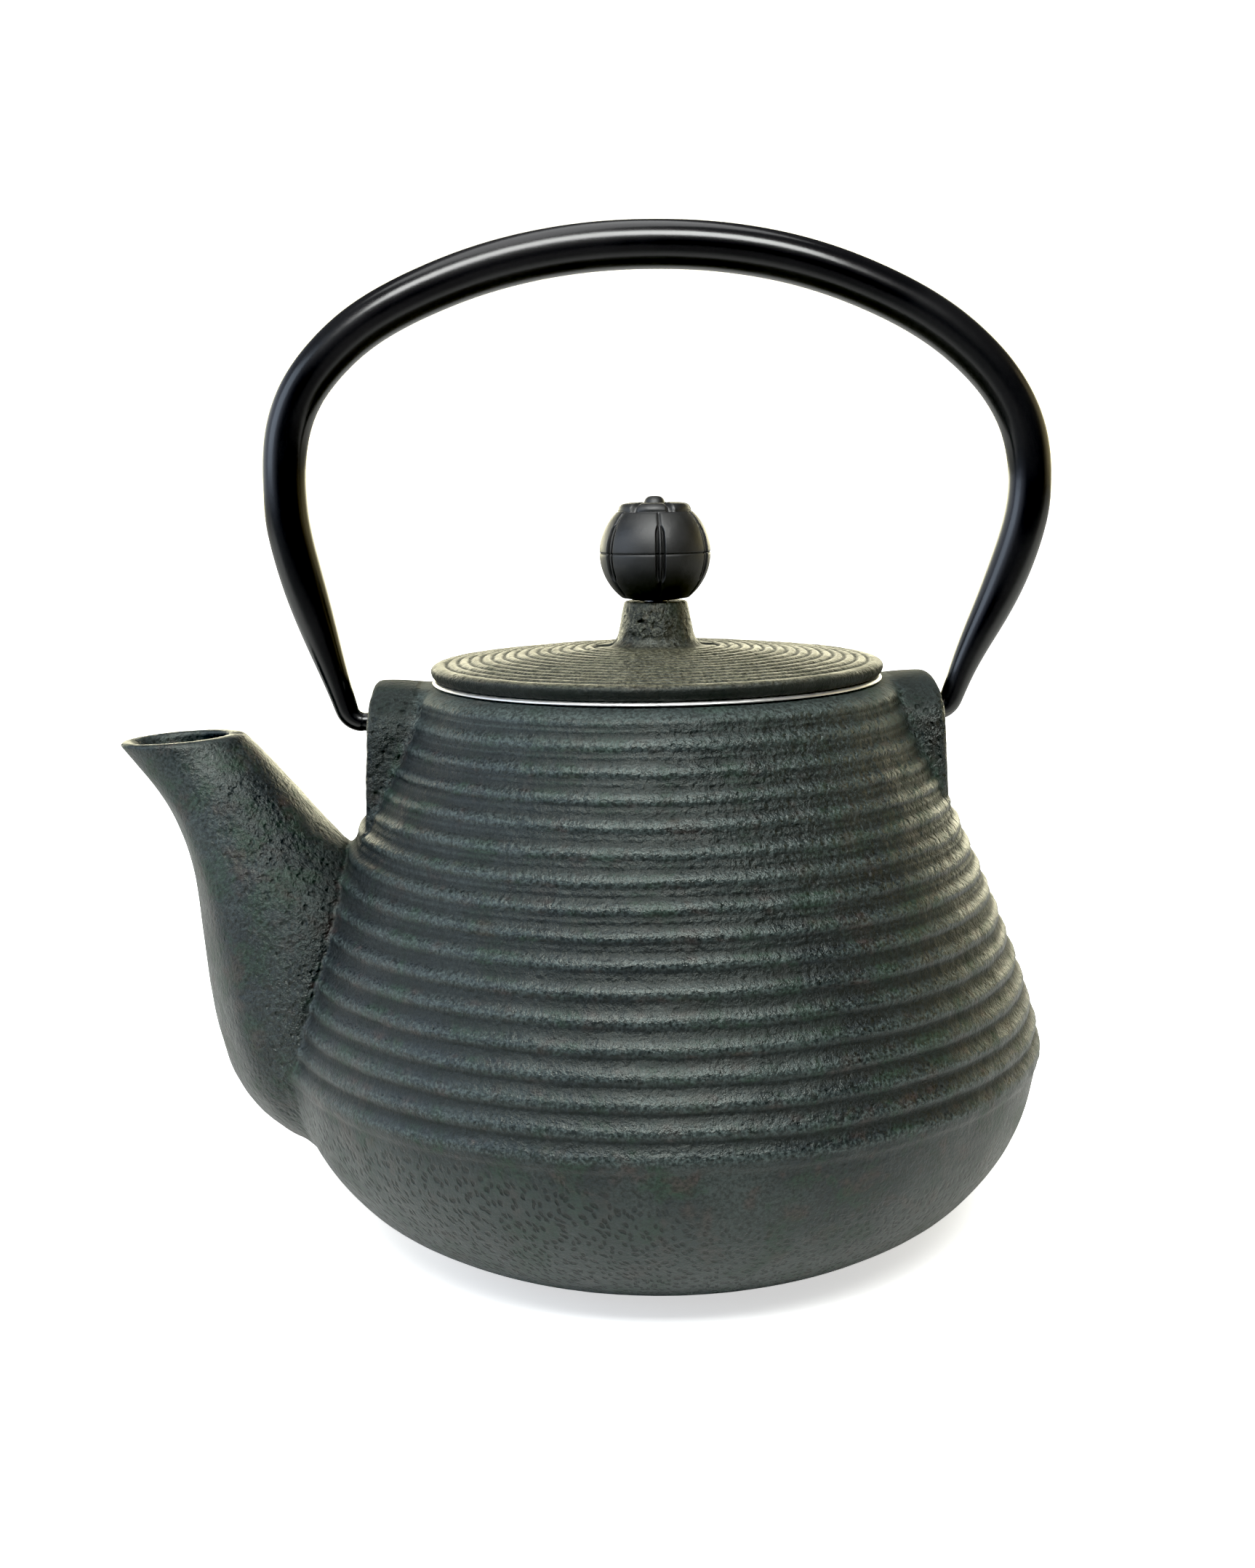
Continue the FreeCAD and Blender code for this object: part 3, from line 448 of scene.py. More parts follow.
def build_pot():
    fine = 1.0
    th = []
    a = -math.pi
    while a < math.pi - 1e-6:
        d = abs(abs(a) - math.pi)
        step = 0.60 if math.degrees(d) < 24 else 1.0
        if abs(math.degrees(a)) < 18:
            step = 0.72
        th.append(a)
        a += math.radians(step * fine)
    th = np.array(th) - math.radians(0.2)
    r = np.concatenate([np.arange(1.5, 36.0, 3.0 * fine), np.arange(36.0, 72.9, 0.9 * fine),
                        np.arange(73.2, 105.0, 0.78 * fine)])
    zstep = PITCH / 9 * fine
    z = np.concatenate([np.arange(-1.4, 34.0, 0.95 * fine), np.arange(34.15, 105.4, zstep), [105.9, 106.6, 107.4]])
    tv, cell, quads, caps = polar_nets(pot_field, th, r, z)
    P = np.stack([tv[:, 1] * np.cos(tv[:, 0]), tv[:, 1] * np.sin(tv[:, 0]), tv[:, 2]], 1)
    P, N = project(pot_fun, P, 3)
    # inner faces: merge cells into larger ones
    rho = np.hypot(P[:, 0], P[:, 1])
    cav = CAV(rho, P[:, 2])
    ch = oval(CH, P[:, 0], P[:, 1], P[:, 2])
    in_ch = (P[:, 0] < -50) & (ch < 0.35) & (lip_plane(P[:, 0], P[:, 2]) < -2.5) & (P[:, 2] > 24.4) & (np.abs(P[:, 1]) < 26)
    inner = ((cav < 0.6) & (P[:, 2] < 101.0)) | in_ch
    deep = inner.copy()
    edge_faces = inner[quads].sum(1)
    border = np.zeros(len(P), bool)
    mixed = (edge_faces > 0) & (edge_faces < 4)
    border[quads[mixed].ravel()] = True
    deep &= ~border
    for ring, _ in caps:
        deep[ring] = False
    key = np.arange(len(P)).astype(np.int64)
    cl = (cell[:, 0] // 4) * 1000000 + (cell[:, 1] // 3) * 1000 + cell[:, 2] // 4
    cl = cl + in_ch * 500000000
    _, inv = np.unique(cl[deep], return_inverse=True)
    key[deep] = len(P) + inv
    uniq, new = np.unique(key, return_inverse=True)
    cnt = np.bincount(new)
    Q = np.stack([np.bincount(new, P[:, i]) / cnt for i in range(3)], 1)
    merged = cnt > 1
    if merged.any():
        Qm, _ = project(pot_fun, Q[merged], 2, limit=1.2)
        Q[merged] = Qm
    inner_new = np.bincount(new, inner.astype(float)) / cnt > 0.5
    faces = new[quads]
    out = []
    full = (np.sort(faces, 1)[:, 1:] != np.sort(faces, 1)[:, :-1]).all(1)
    out_faces = faces[full].tolist()
    for f in faces[~full]:
        g = []
        for v in f:
            if v not in g:
                g.append(int(v))
        if len(g) == 3:
            out_faces.append(g)
    caps2 = [(new[ring], below) for ring, below in caps]
    V2, faces2, extra = with_caps(Q, out_faces, caps2)
    return V2, faces2, len(Q), inner_new, extra


pot_v, pot_f, n_main, pot_inner, extra = build_pot()
inside = np.zeros(len(pot_v))
inside[:n_main] = pot_inner
for i, e in enumerate(extra):
    inside[n_main + i] = inside[e]

# ---- masks for the pot's surface and slow bumps moved into the mesh
X, Y, Z = pot_v.T
rho = np.hypot(X, Y)
T = np.arctan2(Y, X)
sp = oval(SP, X, Y, Z)
bd = body_out(T, rho, Z)
on_spout = sstep(0.2, 1.6, bd) * (X < -45)
junction = np.exp(-np.maximum(bd, 0) / 7.0) * on_spout
lug_mask = np.zeros(len(X))
lug_all = np.zeros(len(X))
for side in (-1, 1):
    near = (X * side > 38) & (np.abs(Y) < 19) & (Z > 68)
    g = lug(side, X, Y, Z)
    lug_all = np.maximum(lug_all, near * sstep(1.2, 0.2, np.abs(g)))
    lug_mask = np.maximum(lug_mask, near * sstep(1.2, 0.2, np.abs(g)) * sstep(105.0, 101, Z))
rib_zone = sstep(35.3, 36.2, Z) * sstep(104.5, 103.5, Z) * sstep(0.6, 0.1, np.abs(bd)) * (1 - inside)
right = sstep(0.25, 0.95, np.cos(T - math.radians(-32)))
flank = on_spout * sstep(3, 12, np.abs(Y)) * sstep(-88, -70, X + 0.35 * (Z - 60)) * sstep(24, 34, Z) * sstep(94, 84, Z)
rough = np.clip(0.9 * junction + 0.85 * lug_mask + 0.55 * right * rib_zone * sstep(60, 95, Z) + 0.12 * rib_zone
                + 0.55 * flank, 0, 1)
bowl_zone = sstep(34.6, 33.0, Z) * (1 - inside) * (1 - on_spout)
az = np.degrees(T)
left_low = sstep(0.2, 0.9, np.cos(T - math.radians(-150)))
dimple = bowl_zone * np.clip(0.42 + 0.75 * left_low + 0.45 * sstep(18, 6, Z)
                             + 0.2 * sstep(0.5, 1, np.cos(T - math.radians(-30)))
                             + 0.5 * sstep(0, 1, np.sin(T)), 0, 1) * sstep(33.5, 24, Z + 8 * (1 - left_low) - 4)
u = (-(Z - RIB0 - warp_tab(T, Z)) / PITCH) % 1.0
hh = np.interp(u, us, lower_h) * (1 - sstep(44, 78, Z)) + np.interp(u, us, upper_h) * sstep(44, 78, Z)
crest = rib_zone * sstep(-0.30, -0.02, hh)
groove = rib_zone * sstep(-0.30, -0.52, hh)

normals = None
pot = make_mesh("pot_casting", pot_v, pot_f, attrs=None)
mesh = pot.data
nrm = np.zeros(len(mesh.vertices) * 3, np.float32)
mesh.vertices.foreach_get("normal", nrm)
nrm = nrm.reshape(-1, 3)
co = np.zeros(len(mesh.vertices) * 3, np.float32)
mesh.vertices.foreach_get("co", co)
co = co.reshape(-1, 3) * 1000
if len(co) == len(pot_v):
    # cast lumps where the surface is rough
    lumps = fbm(X, Y, Z, 3.0, 2, 61, 0.6)
    move = (0.13 * rough + 0.015) * lumps * (1 - inside)
    move *= sstep(0.4, 1.5, Z) * sstep(104.9, 104.2, Z)
    co += nrm * move[:, None]
    reach = np.hypot(co[:, 0], co[:, 1])
    over = (np.abs(co[:, 1]) > 60) & (reach > 72.40)
    co[over, :2] *= (72.40 / reach[over])[:, None]
    mesh.vertices.foreach_set("co", (co / 1000).astype(np.float32).ravel())
    mesh.update()
black = lug_all * sstep(0.7, 1.4, bd)
# the spout's side towards the pot is made black, fading with distance from the junction
black = np.maximum(black, 0.95 * np.clip(1.25 * junction, 0, 1) * sstep(30, 48, Z))
dull = np.maximum(black * sstep(0.35, 0.80, nrm[:len(black), 2]), 0.6 * sstep(102.0, 103.6, Z) * (1 - inside))
dull = np.maximum(dull, 0.7 * junction * sstep(52, 66, Z))
dull = np.maximum(dull, 0.7 * np.exp(-np.maximum(sp, 0) / 7.0) * sstep(58, 68, Z) * (1 - on_spout) * (X < -38))
for key, val in (("rough", rough), ("dimple", dimple), ("crest", crest), ("groove", groove), ("inside", inside),
                 ("black", black), ("dull", dull)):
    a = mesh.attributes.new(key, "FLOAT", "POINT")
    a.data.foreach_set("value", np.asarray(val[:len(mesh.vertices)], np.float32))


# ------------------------------------------------------------------ lid
LID_RING = [40.7 - i * 2.15 for i in range(15)]


def lid_top(rho):
    share = np.clip((40.7 - rho) / (40.7 - 10.6), 0, 1)
    base = 108.2 + (111.0 - 108.2) * (1.0 - (1.0 - share) ** 1.35)
    return base


lrz = np.linspace(0, 45, 1801)
lid_base = lid_top(lrz)
ridge_u = ((40.7 - lrz) / 2.15) % 1.0
ridge = -0.36 * (0.5 - 0.5 * np.cos(2 * math.pi * ridge_u)) ** 1.7
ridge *= sstep(10.0, 12.0, lrz) * sstep(41.2, 40.4, lrz)
lta = np.linspace(-math.pi, math.pi, 541)
lra = np.linspace(0, 45, 226)
LT, LR = np.meshgrid(lta, lra, indexing="ij")
lid_warp = Table(-math.pi, lta[1] - lta[0], 0, lra[1] - lra[0],
                 0.10 * fbm(LR * np.cos(LT), LR * np.sin(LT), LR * 0, 9.0, 2, 91))
lid_lump = Table(-math.pi, lta[1] - lta[0], 0, lra[1] - lra[0],
                 0.05 * fbm(LR * np.cos(LT), LR * np.sin(LT), LR * 0 + 5, 2.2, 2, 93))


def lid_field(T, rho, Z):
    X, Y = rho * np.cos(T), rho * np.sin(T)
    rw = rho + lid_warp(T, rho)
    ztop = np.interp(rho, lrz, lid_base) + np.interp(rw, lrz, ridge) + lid_lump(T, rho) * sstep(10, 13, rho)
    top = (Z - ztop) * 0.985
    side = rho - (42.6 - 0.30 * ((Z - 107.2) / 1.0) ** 2)
    d = smax(top, side, 1.5)
    boss = rho - (7.35 + (6.0 - 7.35) * np.clip((Z - 112.0) / 7.0, 0, 1))
    boss = smax(boss * 0.985, Z - 119.3, 0.55)
    d = smin(d, boss, 2.6)
    under = 105.3 - Z
    d = smax(d, under, 0.5)
    skirt = np.maximum(np.maximum(rho - 34.6, 101.4 - Z), Z - 107.0)
    d = smin(d, skirt, 0.4)
    hollow = np.maximum(rho - 32.2, Z - (107.2 - 0.9 * np.clip((rho - 8) / 24.2, 0, 1)))
    d = smax(d, -hollow, 0.5)
    d = smax(d, -(rho - 2.28), 0.2)
    for s in (-1, 1):
        d = smax(d, -(np.hypot(X - s * 9.6, Y) - 1.9), 0.35)
    return d


def lid_fun(P):
    return lid_field(np.arctan2(P[:, 1], P[:, 0]), np.hypot(P[:, 0], P[:, 1]), P[:, 2])


fine = 1.0
th = np.linspace(-math.pi, math.pi, int(232 / fine), endpoint=False)
r = np.concatenate([np.arange(1.6, 12.6, 0.42 * fine), np.arange(12.6, 43.6, 0.31 * fine)])
z = np.concatenate([np.arange(100.6, 107.3, 0.5), np.arange(107.5, 111.6, 0.24), np.arange(111.8, 120.2, 0.42)])
tv, cell, quads, caps = polar_nets(lid_field, th, r, z)
P = np.stack([tv[:, 1] * np.cos(tv[:, 0]), tv[:, 1] * np.sin(tv[:, 0]), tv[:, 2]], 1)
P, N = project(lid_fun, P, 3, limit=0.35)
LX, LY, LZ = P.T
lrho = np.hypot(LX, LY)
LTh = np.arctan2(LY, LX)
boss_zone = sstep(9.5, 7.6, lrho) * sstep(111.0, 112.0, LZ)
pit = boss_zone * sstep(0.62, 0.97, np.cos(LTh - math.radians(-112))) * sstep(119.0, 117.5, LZ) * sstep(112.2, 113.6, LZ)
dent = pit * np.minimum(fbm(LX, LY, LZ, 1.5, 2, 201, 0.5) - 0.12, 0.0)
P = P + N * (0.75 * dent + 0.03 * fbm(LX, LY, LZ, 1.6, 1, 203) * (lrho > 4))[:, None]
lid_topmask = sstep(106.5, 107.8, LZ)
lid_crest = np.interp(lrho + lid_warp(LTh, lrho), lrz, ridge)
V3, F3, _ = with_caps(P, quads, caps)
lid_obj = make_mesh("lid_casting", V3, F3, attrs={
    "rough": np.clip(0.35 * lid_topmask + 0.7 * pit, 0, 1), "dimple": LX * 0,
    "crest": sstep(-0.20, -0.06, lid_crest) * sstep(0.30, 0.75, N[:, 2]) * sstep(8, 12, lrho) * sstep(42.3, 41.2, lrho),
    "groove": sstep(-0.18, -0.32, lid_crest) * lid_topmask,
    "inside": np.maximum(sstep(0.80, 0.45, N[:, 2]) * sstep(39.0, 40.0, lrho),
                         sstep(2.75, 2.35, np.hypot(np.abs(LX) - 9.6, LY)) * sstep(105.0, 106.0, LZ))})


# ------------------------------------------------------------------ knob
KZ, KR, KTURN = 128.26, 10.42, 2.7


def build_knob():
    prof = [(2.21, 119.62), (3.5, 119.61), (4.55, 119.62), (4.85, 119.72)]
    for deg in sorted(set(list(np.arange(-53, 46.1, 1.5)) + [-0.5, 0.0, 0.3, 0.6, 0.9, 1.2, 1.7])):
        prof.append((KR * math.cos(math.radians(deg)), KZ + KR * math.sin(math.radians(deg))))
    prof += [(7.20, 135.78), (6.98, 135.90), (6.84, 135.98), (6.92, 136.12), (6.90, 136.40), (6.78, 136.75),
             (6.58, 137.05), (6.32, 137.28), (6.0, 137.42), (5.6, 137.50), (5.2, 137.54),
             (4.7, 137.6), (4.2, 137.62), (3.7, 137.58), (3.2, 137.48), (2.8, 137.38), (2.45, 137.34), (2.2, 137.36),
             (2.05, 137.45), (1.95, 137.62), (1.88, 137.85), (1.76, 138.1), (1.6, 138.33), (1.38, 138.52),
             (1.1, 138.67), (0.8, 138.75), (0.4, 138.79)]
    prof = np.array(prof)
    cols = []
    for q in range(6):
        centre = q * 60.0 + 30.0 + KTURN
        offs = np.concatenate([np.arange(-30, -12, 2.5), np.arange(-12, -6.8, 0.8), np.arange(-6.8, 6.81, 0.34),
                               np.arange(7.5, 12.1, 0.8), np.arange(13.5, 29.9, 2.5)])
        cols += list(np.radians(centre + offs))
    cols = np.array(sorted(set(np.round(cols, 6))))
    nc, nr_ = len(cols), len(prof)
    R = np.repeat(prof[:, :1], nc, 1)
    Zk = np.repeat(prof[:, 1:], nc, 1)
    TH = np.repeat(cols[None, :], nr_, 0)
    el = np.degrees(np.arctan2(Zk - KZ, R))
    # meridian slots with a thin rib standing in the middle
    near = (TH - math.radians(30.0 + KTURN) + math.pi / 6) % (math.pi / 3) - math.pi / 6
    off = KR * np.sin(near)
    ends = np.clip(1 - ((el - 1) / 31.0) ** 2, 0, 1) ** 0.5
    width = 0.86 * np.clip(ends * 1.5, 0, 1) + 0.02
    cut = sstep(width + 0.14, width - 0.16, np.abs(off)) * ends
    rib = sstep(0.34, 0.12, np.abs(off))
    depth = 1.10 * cut * (1 - 0.80 * rib * sstep(0.05, 0.4, ends))
    # the slot runs out into a shallow crease towards the cap and the foot
    crease = 0.30 * np.exp(-(off / 0.42) ** 2) * sstep(52, 44, np.abs(el - 1))
    depth = np.maximum(depth, crease * (1 - sstep(0.02, 0.25, ends)))
    sphere = (Zk < 135.9) & (Zk > 119.9)
    depth = np.where(sphere, depth, 0)
    # parting line round the equator
    line = 0.18 * np.exp(-((el - 0.6) / 0.75) ** 2) * sphere
    soft = 0.035 * fbm(R * np.cos(TH), R * np.sin(TH), Zk, 4.0, 2, 301) * sphere
    # petals of the cap
    cap = Zk >= 135.95
    pet = np.abs(((TH * 6 / (2 * math.pi) + 0.13) % 1.0) - 0.5) * 2
    notch = sstep(0.74, 0.98, pet)
    rim = cap & (R > 2.9)
    Rn = R - np.where(rim, (0.75 * notch + 0.16 * pet ** 2) * sstep(3.0, 5.6, R) * sstep(135.9, 136.3, Zk), 0)
    Zn = Zk - np.where(rim, 0.42 * notch * sstep(2.9, 4.2, R) + 0.12 * sstep(4.8, 6.2, R) * (pet ** 2), 0)
    n = np.stack([np.cos(np.radians(el)), np.sin(np.radians(el))], 2)
    push = -(depth + line) + soft
    Rn = Rn + n[:, :, 0] * push
    Zn = Zn + n[:, :, 1] * push
    verts = np.stack([Rn * np.cos(TH), Rn * np.sin(TH), Zn], 2).reshape(-1, 3)
    faces = []
    for i in range(nr_ - 1):
        a = i * nc + np.arange(nc)
        b = i * nc + (np.arange(nc) + 1) % nc
        faces.append(np.stack([a, b, b + nc, a + nc], 1))
    faces = np.concatenate(faces).tolist()
    top = len(verts)
    verts = np.vstack([verts, [[0, 0, 138.8]]])
    last = (nr_ - 1) * nc
    faces += [[last + j, last + (j + 1) % nc, top] for j in range(nc)]
    # bore wall and its end, so that the shell is closed
    ring0 = np.arange(nc)
    up = len(verts)
    verts = np.vstack([verts, np.stack([2.21 * np.cos(cols), 2.21 * np.sin(cols), np.full(nc, 131.4)], 1)])
    faces += [[int(ring0[(j + 1) % nc]), int(ring0[j]), up + j, up + (j + 1) % nc] for j in range(nc)]
    faces.append([up + j for j in range(nc)][::-1])
    allv = len(verts)
    slot_attr = np.zeros(allv)
    slot_attr[:nr_ * nc] = np.clip(depth + 4 * line, 0, 1).reshape(-1)
    return verts, faces, slot_attr


kv, kf, kslot = build_knob()
knob = make_mesh("knob_casting", kv, kf, attrs={"slot": kslot})

# ------------------------------------------------------------------ bail
LEFT = [(-68.4, 140.2, 4.15), (-68.3, 146.1, 4.15), (-67.6, 151.3, 4.17), (-65.8, 156.4, 4.19),
        (-63.1, 160.8, 4.22), (-59.4, 165.0, 4.25), (-54.5, 169.3, 4.28), (-48.3, 173.1, 4.31),
        (-40.6, 176.6, 4.34), (-31.9, 179.75, 4.37), (-22.0, 182.2, 4.40), (-11.0, 183.75, 4.42)]
LEFT_DOWN = [(-68.0, 134.3, 4.15), (-66.8, 128.3, 4.12), (-65.3, 122.3, 4.0), (-63.7, 116.6, 3.62),
             (-62.2, 111.4, 3.12), (-60.7, 106.4, 2.62), (-59.5, 102.4, 2.3)]
RIGHT = [(70.6, 140.2, 4.15), (70.3, 145.6, 4.15), (69.1, 150.7, 4.17), (66.9, 155.4, 4.19),
         (63.8, 159.9, 4.22), (59.6, 164.3, 4.25), (54.4, 168.6, 4.28), (48.0, 172.6, 4.31),
         (40.3, 176.3, 4.34), (31.6, 179.6, 4.37), (22.0, 182.1, 4.40), (11.0, 183.7, 4.42)]
RIGHT_DOWN = [(70.0, 134.3, 4.15), (68.4, 128.3, 4.12), (66.2, 122.3, 4.0), (63.7, 116.6, 3.62),
              (61.1, 111.4, 3.12), (58.8, 106.4, 2.62), (57.3, 102.4, 2.3)]
ZP, PIN = 97.4, 1.80


def elbow(sign, rows, count=7):
    (x0, z0, _), (x1, z1, _) = rows[-1], rows[-2]
    d = np.array([x0 - x1, z0 - z1])
    d /= np.linalg.norm(d)
    t = (z0 - ZP) / -d[1]
    corner = np.array([x0 + d[0] * t, ZP])
    turn = math.acos(max(-1, min(1, d[0] * -sign)))
    bend = 3.3
    tl = bend * math.tan(turn / 2)
    a0 = corner - d * tl
    inward = np.array([-sign, 0.0])
    normal = inward - d * inward.dot(d)
    normal /= np.linalg.norm(normal)
    centre = a0 + normal * bend
    out = []
    for k in range(count + 1):
        ang = turn * k / count
        p = centre - normal * (bend * math.cos(ang)) + d * (bend * math.sin(ang))
        out.append((p[0], p[1], 2.15 + (PIN - 2.15) * k / count))
    return out


le, re = elbow(-1, LEFT_DOWN), elbow(1, RIGHT_DOWN)
path = ([(-48.0, ZP, PIN), (-53.9, ZP, PIN)] + le[::-1] + LEFT_DOWN[::-1] + LEFT + [(0.0, 184.15, 4.42)]
        + RIGHT[::-1] + RIGHT_DOWN + re + [(51.6, ZP, PIN), (48.0, ZP, PIN)])
path = np.array(path)


def catmull(points, per):
    """Centripetal curve through the points."""
    pts = np.vstack([2 * points[0] - points[1], points, 2 * points[-1] - points[-2]])
    out = []
    for i in range(1, len(pts) - 2):
        p0, p1, p2, p3 = pts[i - 1:i + 3]
        t0 = 0.0
        t1 = t0 + np.linalg.norm(p1[:2] - p0[:2]) ** 0.5
        t2 = t1 + np.linalg.norm(p2[:2] - p1[:2]) ** 0.5
        t3 = t2 + np.linalg.norm(p3[:2] - p2[:2]) ** 0.5
        n = per if np.linalg.norm(p2[:2] - p1[:2]) > 2.5 else 2
        for t in np.linspace(t1, t2, n, endpoint=False):
            a1 = (t1 - t) / (t1 - t0) * p0 + (t - t0) / (t1 - t0) * p1
            a2 = (t2 - t) / (t2 - t1) * p1 + (t - t1) / (t2 - t1) * p2
            a3 = (t3 - t) / (t3 - t2) * p2 + (t - t2) / (t3 - t2) * p3
            b1 = (t2 - t) / (t2 - t0) * a1 + (t - t0) / (t2 - t0) * a2
            b2 = (t3 - t) / (t3 - t1) * a2 + (t - t1) / (t3 - t1) * a3
            out.append((t2 - t) / (t2 - t1) * b1 + (t - t1) / (t2 - t1) * b2)
    out.append(points[-1])
    return np.array(out)


def build_bail():
    c = catmull(path, 7)
    # the curve's small wobbles are evened out, the pins and elbows stay
    for _ in range(14):
        s = c.copy()
        s[1:-1] = 0.25 * c[:-2] + 0.5 * c[1:-1] + 0.25 * c[2:]
        keep = sstep(100, 108, c[:, 1])[:, None]
        c = c * (1 - keep) + s * keep
    t = np.gradient(c[:, :2], axis=0)
    t /= np.linalg.norm(t, axis=1, keepdims=True)
    nside = np.stack([-t[:, 1], t[:, 0]], 1)
    m = 48
    ang = np.linspace(0, 2 * math.pi, m, endpoint=False)
    r = c[:, 2].copy()
    verts = []
    wear = []
    for i in range(len(c)):
        # a small crimp where the tube is drawn down to its pin
        x = abs(c[i, 0])
        ri = r[i]
        if abs(c[i, 1] - ZP) < 0.6 and c[i, 0] < -54.0:
            ri = ri * (1 - 0.08 * math.exp(-((x - 55.2) / 0.5) ** 2)) + 0.10 * math.exp(-((x - 54.3) / 0.5) ** 2)
        verts.append(np.stack([c[i, 0] + nside[i, 0] * ri * np.cos(ang), ri * np.sin(ang),
                               c[i, 1] + nside[i, 1] * ri * np.cos(ang)], 1))
        wear += [float(x < 57.5 and c[i, 1] < 99.5)] * m
    verts = np.concatenate(verts)
    faces = []
    n = len(c)
    for i in range(n - 1):
        a = i * m + np.arange(m)
        b = i * m + (np.arange(m) + 1) % m
        faces.append(np.stack([a, b, b + m, a + m], 1))
    faces = np.concatenate(faces).tolist()
    faces.append(list(range(m))[::-1])
    faces.append([(n - 1) * m + k for k in range(m)])
    return verts, faces, wear


bv, bf, bwear = build_bail()
bail = make_mesh("bail_tube", bv, bf, attrs={"wear": bwear})


# ------------------------------------------------------------------ infuser
def lathe(name, rows, cols=192, attrs=None):
    rows = np.array(rows, float)
    a = np.linspace(0, 2 * math.pi, cols, endpoint=False)
    verts = np.stack([rows[:, :1] * np.cos(a), rows[:, :1] * np.sin(a), np.repeat(rows[:, 1:], cols, 1)], 2).reshape(-1, 3)
    n = len(rows)
    faces = []
    for i in range(n):
        p = i * cols + np.arange(cols)
        q = ((i + 1) % n) * cols
        faces.append(np.stack([p, i * cols + (np.arange(cols) + 1) % cols, q + (np.arange(cols) + 1) % cols,
                               q + np.arange(cols)], 1))
    return make_mesh(name, verts, np.concatenate(faces).tolist())


rim = lathe("infuser_flange", [
    (36.22, 96.05), (36.5, 95.99), (36.78, 96.05), (36.8, 96.3), (36.8, 103.6), (36.9, 104.25), (37.3, 104.55),
    (41.2, 104.40), (41.25, 104.60), (41.5, 104.66), (42.1, 104.69), (42.28, 104.74), (42.33, 104.84), (42.29, 104.96),
    (42.20, 105.08), (42.10, 105.18),
    (41.98, 105.26), (41.84, 105.3), (41.6, 105.3),
    (37.4, 105.3), (36.7, 105.1), (36.3, 104.6), (36.2, 103.8), (36.2, 96.3)], 256)
base_ring = lathe("infuser_cup_ring", [
    (32.5, 47.0), (35.7, 47.0), (36.3, 47.15), (36.65, 47.5), (36.75, 48.0), (36.75, 50.9), (36.6, 51.0), (36.3, 51.0),
    (36.2, 50.85), (36.2, 47.9), (35.9, 47.62), (32.6, 47.6), (32.45, 47.3)], 192)


def perforated_wall():
    """Steel wall with a fine grid of square holes."""
    r_out, r_in, z0, z1 = 36.10, 35.74, 48.15, 100.3
    nc, nz = 132, 30
    open_share = 0.56
    da = 2 * math.pi / nc
    dz = (z1 - z0 - 2.0) / nz
    verts, faces = [], []
    ha, hz = da * open_share / 2, dz * open_share / 2
    corner_index = {}

    def vert(r, a, z):
        verts.append((r * math.cos(a), r * math.sin(a), z))
        return len(verts) - 1

    grid = {}
    for s, r in ((0, r_out), (1, r_in)):
        for i in range(nc):
            for j in range(nz + 1):
                grid[s, i, j] = vert(r, i * da, z0 + 1.0 + j * dz)
    for i in range(nc):
        i2 = (i + 1) % nc
        for j in range(nz):
            ca, cz = (i + 0.5) * da, z0 + 1.0 + (j + 0.5) * dz
            hole = []
            for s, r in ((0, r_out), (1, r_in)):
                h = [vert(r, ca - ha, cz - hz), vert(r, ca + ha, cz - hz), vert(r, ca + ha, cz + hz), vert(r, ca - ha, cz + hz)]
                g = [grid[s, i, j], grid[s, i2, j], grid[s, i2, j + 1], grid[s, i, j + 1]]
                for k in range(4):
                    f = [g[k], g[(k + 1) % 4], h[(k + 1) % 4], h[k]]
                    faces.append(f if s == 0 else f[::-1])
                hole.append(h)
            for k in range(4):
                faces.append([hole[0][k], hole[0][(k + 1) % 4], hole[1][(k + 1) % 4], hole[1][k]])
    for end, z_end, row in ((0, z0, 0), (1, z1, nz)):
        rings = []
        for s, r in ((0, r_out), (1, r_in)):
            rings.append([vert(r, i * da, z_end) for i in range(nc)])
        for i in range(nc):
            i2 = (i + 1) % nc
            a, b = grid[0, i, row], grid[0, i2, row]
            f = [rings[0][i], rings[0][i2], b, a]
            faces.append(f if end == 0 else f[::-1])
            a, b = grid[1, i, row], grid[1, i2, row]
            f = [rings[1][i], rings[1][i2], b, a]
            faces.append(f[::-1] if end == 0 else f)
            f = [rings[0][i], rings[0][i2], rings[1][i2], rings[1][i]]
            faces.append(f[::-1] if end == 0 else f)
    return make_mesh("infuser_screen", verts, faces, smooth=False)


screen = perforated_wall()


def wave_disc():
    """Woven floor: a disc whose surface carries the over and under of the wires."""
    n_r, n_a = 70, 200
    verts, faces = [], []
    for s, zc in ((0, 47.98), (1, 47.66)):
        base = len(verts)
        verts.append((0, 0, zc))
        for i in range(1, n_r + 1):
            rr = 35.58 * i / n_r
            for k in range(n_a):
                a = 2 * math.pi * k / n_a
                x, y = rr * math.cos(a), rr * math.sin(a)
                w = 0.012 * math.sin(x * 2.6) * math.sin(y * 2.6)
                verts.append((x, y, zc + (w if s == 0 else -w)))
        for k in range(n_a):
            f = [base, base + 1 + k, base + 1 + (k + 1) % n_a]
            faces.append(f if s == 0 else f[::-1])
        for i in range(n_r - 1):
            for k in range(n_a):
                p = base + 1 + i * n_a
                f = [p + k, p + n_a + k, p + n_a + (k + 1) % n_a, p + (k + 1) % n_a]
                faces.append(f if s == 0 else f[::-1])
    t = 1 + (n_r - 1) * n_a
    b = 1 + n_r * n_a + 1 + (n_r - 1) * n_a
    for k in range(n_a):
        faces.append([t + k, b + k, b + (k + 1) % n_a, t + (k + 1) % n_a])
    return make_mesh("infuser_floor", verts, faces)


floor_mesh = wave_disc()


